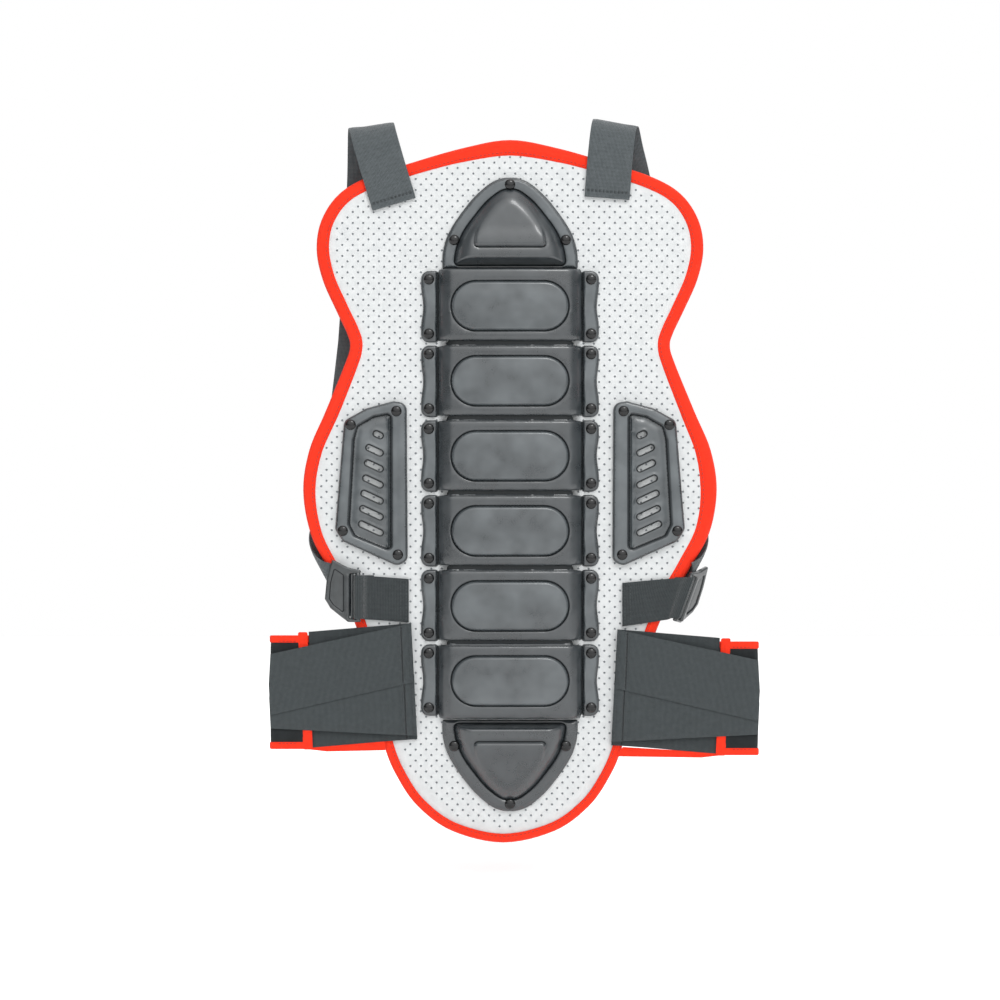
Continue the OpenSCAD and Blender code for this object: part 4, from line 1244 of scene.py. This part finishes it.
def buckle(side):
    half = BUCKLE_H / 2
    up, down = half + BUCKLE_UP, -half + BUCKLE_UP
    frame_loop = [(2.4, up)] + PADDLE + [(2.4, down), (2.4, down + RAIL), (-6.6, down + RAIL), (-6.6, up - RAIL),
                                         (2.4, up - RAIL)]
    outline = dense(rounded(frame_loop[::-1], 1.2, 4), 2.0)
    panel = dense(rounded(PADDLE_PANEL[::-1], 1.8, 5), 1.6)

    def front(p):
        y = -2.0 + round_edge(edge_distance(p, outline), 1.1)
        y += 1.0 * smooth(-0.1, 0.9, edge_distance(p, panel)) - 0.35 * smooth(0.9, 3.0, edge_distance(p, panel))
        # A raised gripping edge runs along the window
        ridge = smooth(-10.2, -9.4, p[:, 0]) * smooth(-6.9, -7.7, p[:, 0]) * (np.abs(p[:, 1]) < half - RAIL)
        return y - 0.5 * ridge

    def back(p):
        return 1.7 - round_edge(edge_distance(p, outline), 0.9)

    def paint(p):
        """The crease round the gripping panel is painted darker with the shade finish: painted shade."""
        g = edge_distance(p, panel)
        return (g > 0.1) & (g < 1.0)

    lines = [inset(panel, g) for g in (-0.3, 0.15, 0.6, 1.0)]
    points = np.vstack([inset(outline, g) for g in (0.4, 0.9, 1.4)])
    points = points[edge_distance(points, outline) > 0.2]
    shape = Shape()
    place = buckle_place(side)
    relief(shape, outline, front, back, 1.8, lines, points, place=place, paint=paint)
    for x, r, y in ((0.0, 2.0, 0.0), (-5.0, 1.3, 0.9)):
        profile = [(0.01, -half + 0.6), (r * 0.7, -half + 0.6), (r, -half + 1.2), (r, half - 1.2), (r * 0.7, half - 0.6),
                   (0.01, half - 0.6)]
        lathe(shape, profile, place @ Matrix.Translation((x, y, BUCKLE_UP)), 20)
    obj = shape.build(side + "_ladder_lock", [BUCKLE, PLASTIC_SHADE], side + "_lock", sharp=45)
    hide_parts(side + "_buckle")


def side_webbing(side):
    (bx, by, bz), slant, _, flip = BARS[side]
    seam_x, seam_z = (-83.0, -118.5) if side == "left" else (92.0, -121.8)
    out = -1 if side == "left" else 1
    turn = math.radians(slant)
    up_bar = np.array([math.sin(turn), 0, math.cos(turn)])
    up_seam = np.array([0, 0, 1.0])
    face = LAYER_BACK - WEB / 2

    def at(share, dx, y):
        """A place on the way from the seam to the bar, dx past it."""
        base = np.array([seam_x, 0, seam_z]) * (1 - share) + np.array([bx, 0, bz]) * share
        base = base + np.array([out * dx, y, 0])
        across = up_seam * (1 - share) + up_bar * share
        return base, across

    r = 3.2
    route = [at(0, 0, face), at(0.25, 0, face), at(0.5, 0, face), at(0.7, 0, face - 0.2),
             at(0.85, 0, face - 1.6), at(1, -4.2, face - 4.4)]
    for a in (75, 45, 15, -15, -45, -75):
        angle = math.radians(a)
        route.append((np.array([bx, by, bz]) + np.array([out * r * math.cos(angle), -r * math.sin(angle), 0]), up_bar))
    route.append(at(1, -6.0, by + r - 0.1))
    route.append(at(1, -13.0, by + r - 0.1))
    line = stations(route, 1.8, 6, square=False)
    shape = Shape()
    ribbon(shape, line, STRAP_W - 1.4, WEB * 0.85)
    point, heading, across, normal = line
    facing = np.array([0, -1, 0])
    for offset in (2.0, 6.5):
        centre = at(0, offset, face - WEB / 2 - 0.1)[0]
        row = [centre + up_seam * u for u in np.linspace(-16, 16, 12)]
        stitches(shape, row, facing, 2.8, radius=0.38)
    for u in (16.2, -16.2):
        row = [at(0, o, face - WEB / 2 - 0.1)[0] + up_seam * u for o in (1.5, 4.0, 7.0)]
        stitches(shape, row, facing, 2.8, radius=0.38)
    obj = shape.build(side + "_hip_webbing", [WEBBING, THREAD], "lumbar", sharp=50)
    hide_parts(side + "_side_webbing")


# ---- Kidney belt (left side; the right is its mirror image) ----

FOLD_X, HINGE_X = -196.0, -130.0
TAB_INNER, FLAP_INNER, TAB_LEAN = -166.8, -151.0, 4.4
SEAM_IN = 8.4
CLOSURE_Z = (-240.0, -147.0)
BASE_Y = (LAYER_BACK - 1.4, LAYER_BACK)
TAB_Y = (BASE_Y[0] - 1.7, BASE_Y[0] - 0.3)
LOWER_Y = (TAB_Y[0] - 1.7, TAB_Y[0] - 0.3)
UPPER_Y = (LOWER_Y[0] - 1.7, LOWER_Y[0] - 0.3)
FLAP_Y = (LAYER_BACK + 0.6, LAYER_BACK + 2.6)
BELT_SIDES = {"left": Matrix.Identity(4),
              "right": Matrix.Translation((7, 0, -5)) @ Matrix.Diagonal((-1, 1, 1, 1))}


def fold_wing(obj):
    """Bakes the cloth's placement into its mesh; it is not folded here."""
    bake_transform(obj)


def flat_cloth(shape, outline, depths, place, seam=None, turn=0.0, bulge=0.0):
    """A flat layer of the belt with soft edges; seam is the line it is sewn along."""
    outline = dense(np.array(outline, float), 3.0)
    y0, y1 = depths

    def front(p):
        d = edge_distance(p, outline)
        y = y0 + 0.75 * round_edge(d, 0.9) - bulge * smooth(0, 14, d)
        if seam is not None:
            y += 0.6 * np.exp(-((seam_distance(p, seam) - SEAM_IN) / 0.7) ** 2)
        return y

    def back(p):
        return y1 - 0.4 * round_edge(edge_distance(p, outline), 0.9)

    def paint(p):
        """Each piece's edge all round is painted darker (finish 2 instead of 0), a painted shade line standing in for
        the shadow where one band's edge lies over the next; the sewn line is darker too, painted shade in its pressed
        groove.
        """
        painted_shade = ~inside(p, edge)
        if seam is not None:
            painted_shade |= np.abs(seam_distance(p, seam) - SEAM_IN) < 0.6
        return 2 * painted_shade

    edge = inset(outline, 1.1)
    points = [inset(outline, 1.9)]
    if seam is not None:
        a, b = np.array(seam[0], float), np.array(seam[1], float)
        along = (b - a) / np.linalg.norm(b - a)
        for offset in np.arange(SEAM_IN - 1.8, SEAM_IN + 1.9, 0.6):
            steps = np.arange(1.0, np.linalg.norm(b - a) - 1.0, 1.5)
            points.append(a + steps[:, None] * along + offset * np.array([along[1], -along[0]]))
    points = np.vstack(points)
    points = points[edge_distance(points, outline) > 1.5]
    relief(shape, outline, front, back, 4.0, [edge], points, place=place, paint=paint, cloth_turn=turn)
    return shape


def seam_distance(points, seam):
    a, b = np.array(seam[0], float), np.array(seam[1], float)
    along = (b - a) / np.linalg.norm(b - a)
    rel = points - a
    return np.abs(rel[:, 0] * along[1] - rel[:, 1] * along[0])


def sew(shape, place, path, y, pitch=3.0, finish=1, radius=0.36):
    points = [place @ Vector((x, y - 0.12, z)) for x, z in path]
    stitches(shape, points, (0, -1, 0), pitch, finish=finish, radius=radius)


def area_of(outline):
    p = np.array(outline, float)
    q = np.roll(p, -1, axis=0)
    return abs((p[:, 0] * q[:, 1] - q[:, 0] * p[:, 1]).sum()) / 2 * MM * MM


def belt(side):
    place = BELT_SIDES[side]
    pieces = {
        "belt_base": ([(-81, -137), (-76, -232), (-105, -234), (-163, -239), (-165, -144)], BASE_Y, BASE, 0,
                      ["belt_root", "belt_wing"], ((-81, -137), (-76, -232)), 0.0),
        "lower_tension_band": ([(-78.5, -179), (-76.5, -229), (FOLD_X, -223), (FOLD_X - 1.2, -198), (FOLD_X, -173)],
                               LOWER_Y, BAND, 3, ["lower_band_root", "lower_band"], ((-78.5, -179), (-76.5, -229)), 0.15),
        "upper_tension_band": ([(-81, -137), (-79, -185), (FOLD_X, -212), (FOLD_X - 1.4, -187), (FOLD_X, -162)],
                               UPPER_Y, BAND, -12.3, ["upper_band_root", "upper_band"], ((-81, -137), (-79, -185)), 0.2)}
    for name, (outline, depths, finish, turn, nodes, seam, bulge) in pieces.items():
        shape = Shape()
        flat_cloth(shape, outline[::-1], depths, place, seam, turn, bulge)
        (x0, z0), (x1, z1) = seam
        for offset in (-2.0, -SEAM_IN - 2.4):
            path = [(x0 + offset + (x1 - x0) * t, z0 + (z1 - z0) * t) for t in np.linspace(0.03, 0.97, 16)]
            sew(shape, place, path, depths[0] - bulge)
        if name == "belt_base":
            bind_base(shape, side)
        obj = shape.build(side + "_" + name, [finish, THREAD, EDGE_SHADE, BINDING], sharp=50)
        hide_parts(*[side + "_" + n for n in nodes])
        fold_wing(obj)
        size = np.ptp(np.array(outline, float), axis=0) * MM
        float(area_of(outline))


def bind_base(shape, side):
    """The red strip that shows under the base's lower edge, from the closure to the panel."""
    inner, toe = (-102.2, -102.2) if side == "left" else (-85.4, -80.0)
    corners = [(-164, -238.2), (inner, -233.4), (toe, -241.2), (-150, -242.2), (-164, -240.6)]
    loop = dense(rounded(corners, 0.6, 3), 3.0)
    y = BASE_Y[1] - 0.2
    fall = lambda p: 0.5 * round_edge(edge_distance(p, loop), 1.0)
    fold = lambda p: 0.35 * np.exp(-((p[:, 1] + 239.8) / 0.5) ** 2)
    ridge = np.array([(x, z) for z in (-240.6, -240.2, -239.8, -239.4, -239.0) for x in np.arange(-161, inner - 1, 2.5)])
    relief(shape, loop, lambda p: y - 0.6 + fall(p) + fold(p), lambda p: y + 0.35 - fall(p), 2.4, points=ridge,
           place=BELT_SIDES[side], finish=3)


def closure(side):
    """The bound panel at the wing's end: a tab in front, a fold at the end and a flap behind."""
    place = BELT_SIDES[side]
    low, high = CLOSURE_Z
    tab_y, flap_y = sum(TAB_Y) / 2, sum(FLAP_Y) / 2
    reach = (flap_y - tab_y) / 2
    middle_y = (tab_y + flap_y) / 2

    def route(z_at, from_x, to_x, lift=0.0):
        path = [(from_x, tab_y), (-175, tab_y), (-188, tab_y)]
        path += [(FOLD_X + 2.2 - 2.2 * math.sin(a), middle_y - (reach + lift) * math.cos(a))
                 for a in np.radians(np.arange(0, 181, 30))]
        path += [(-186, flap_y), (-172, flap_y), (to_x, flap_y)]
        return [((x, y, z_at), (0, 0, 1)) for x, y in path]

    shape = Shape()

    def lay(z_at, width, thick, from_x, to_x, finish):
        part = Shape()
        line = stations(route(z_at, from_x, to_x), 2.0, 6)
        ribbon(part, line, width, thick, 6 if width < 10 else 14, finish)
        shape.add([place @ Vector(p) for p in part.points],
                  [tuple(reversed(f)) for f in part.faces] if side == "right" else part.faces,
                  part.cloth, part.finish)

    lay((low + high) / 2, high - low - 8.0, 1.2, TAB_INNER + 0.6, FLAP_INNER + 0.6, 0)
    for z_at in (low + 2.9, high - 2.9):
        lay(z_at, 5.8, 2.0, TAB_INNER, FLAP_INNER, 1)
    for x, y, lean, rise in ((TAB_INNER, tab_y, TAB_LEAN, 2.8), (FLAP_INNER, flap_y, 0.0, 0.4)):
        loop = rounded([(x - 6.9, high + rise), (x + 0.9, high + rise), (x + lean + 0.9, low - 0.4),
                        (x + lean - 6.9, low - 0.4)], 1.4, 3)
        loop = dense(loop, 3.0)
        relief(shape, loop, lambda p, y=y: y - 1.15 + 0.7 * round_edge(edge_distance(p, loop), 1.0),
               lambda p, y=y: y + 1.15 - 0.7 * round_edge(edge_distance(p, loop), 1.0), 2.2, place=place, finish=1)
    for z_at in (low + 4.6, high - 4.6):
        sew(shape, place, [(x, z_at) for x in np.linspace(TAB_INNER - 8, -190, 8)], tab_y - 1.0, 3.2, 2)
    obj = shape.build(side + "_closure_panel", [CLOSURE, BINDING, RED_THREAD], sharp=50)
    names = ("closure_tab", "closure_tab_binding", "closure_flap", "closure_flap_binding")
    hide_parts(*[side + "_" + n for n in names])
    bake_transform(obj)


# ---- Studio ----

VIEW_X, VIEW_Z, VIEW_WIDTH, LENS = -0.0082, -0.036, 0.82, 100.0


def studio():
    camera = bpy.data.cameras.new("camera")
    camera.lens, camera.sensor_width = LENS, 36.0
    camera.clip_end = 50.0
    holder = bpy.data.objects.new("camera", camera)
    holder.location = (VIEW_X, -0.018 - VIEW_WIDTH * LENS / 36.0, VIEW_Z)
    holder.rotation_euler = (math.radians(90), 0, 0)
    scene.collection.objects.link(holder)
    scene.camera = holder

    lights = [("key", (0.5, -1.6, 1.7), 15.0, 0.7), ("back", (-0.3, 1.9, 1.5), 14.0, 1.4)]
    for name, place, energy, size in lights:
        lamp = bpy.data.lights.new(name, "AREA")
        lamp.energy, lamp.size, lamp.shape = energy, size, "SQUARE"
        stand = bpy.data.objects.new(name, lamp)
        stand.location = place
        aim = Vector((0, 0, -0.03)) - Vector(place)
        stand.rotation_euler = aim.to_track_quat("-Z", "Y").to_euler()
        scene.collection.objects.link(stand)

    world = bpy.data.worlds.new("studio")
    world.use_nodes = True
    tree = world.node_tree
    tree.nodes.clear()
    way = node(tree, "SeparateXYZ", {0: node(tree, "TexCoord").outputs["Generated"]}).outputs
    # A large soft light in front and above, a weaker one behind, and dim sides that darken the flanks
    sideways = math_node(tree, "MULTIPLY_ADD", way[0], 0.14, math_node(tree, "MULTIPLY", way[2], 0.64))
    ahead = math_node(tree, "MULTIPLY_ADD", way[1], -0.75, sideways)
    behind = math_node(tree, "MULTIPLY_ADD", way[1], 0.75, sideways)
    front_light = node(tree, "MapRange", {0: ahead, 1: 0.42, 2: 0.98, 3: 0.0, 4: 1.6}, interpolation_type="SMOOTHSTEP")
    back_light = node(tree, "MapRange", {0: behind, 1: 0.42, 2: 0.98, 3: 0.0, 4: 1.3}, interpolation_type="SMOOTHSTEP")
    both_lights = math_node(tree, "ADD", front_light.outputs[0], back_light.outputs[0])
    lit = node(tree, "Background", {0: (1, 1, 1, 1), 1: math_node(tree, "ADD", both_lights, 0.24)})
    white = node(tree, "Background", {0: (1, 1, 1, 1), 1: 1.0})
    seen = node(tree, "LightPath").outputs["Is Camera Ray"]
    both = node(tree, "MixShader", {0: seen, 1: lit.outputs[0], 2: white.outputs[0]})
    out = node(tree, "OutputWorld", {0: both.outputs[0]})
    scene.world = world

    floor_mesh = bpy.data.meshes.new("floor")
    reach, level = 4.0, cad_box[0][2] - 0.03
    floor_mesh.from_pydata([(-reach, -reach, level), (reach, -reach, level), (reach, reach, level), (-reach, reach, level)],
                           [], [(0, 1, 2, 3)])
    floor = bpy.data.objects.new("floor", floor_mesh)
    finish, tree, shader = new_finish("pale_floor", 0.9, 0.1)
    shader.inputs["Base Color"].default_value = (0.97, 0.97, 0.97, 1)
    shader.inputs["Emission Color"].default_value = (1, 1, 1, 1)
    shader.inputs["Emission Strength"].default_value = 0.1
    floor_mesh.materials.append(finish)
    scene.collection.objects.link(floor)
    scene.view_settings.view_transform = "Standard"
    scene.view_settings.look = "None"


studio()
for span in SPANS:
    pad(span)
    lining(span)
    binding(span)
cushions()
for number, body in ((1, "upper_back"), (2, "middle_back"), (3, "middle_back"), (4, "middle_back"), (5, "lumbar"),
                     (6, "lumbar")):
    spine_plate(number, body)
end_plate(True)
end_plate(False)
kidney_plate(1)
kidney_plate(-1)
rivets()
for side in ("left", "right"):
    strap_pieces(side)
    buckle(side)
    side_webbing(side)
    belt(side)
    closure(side)
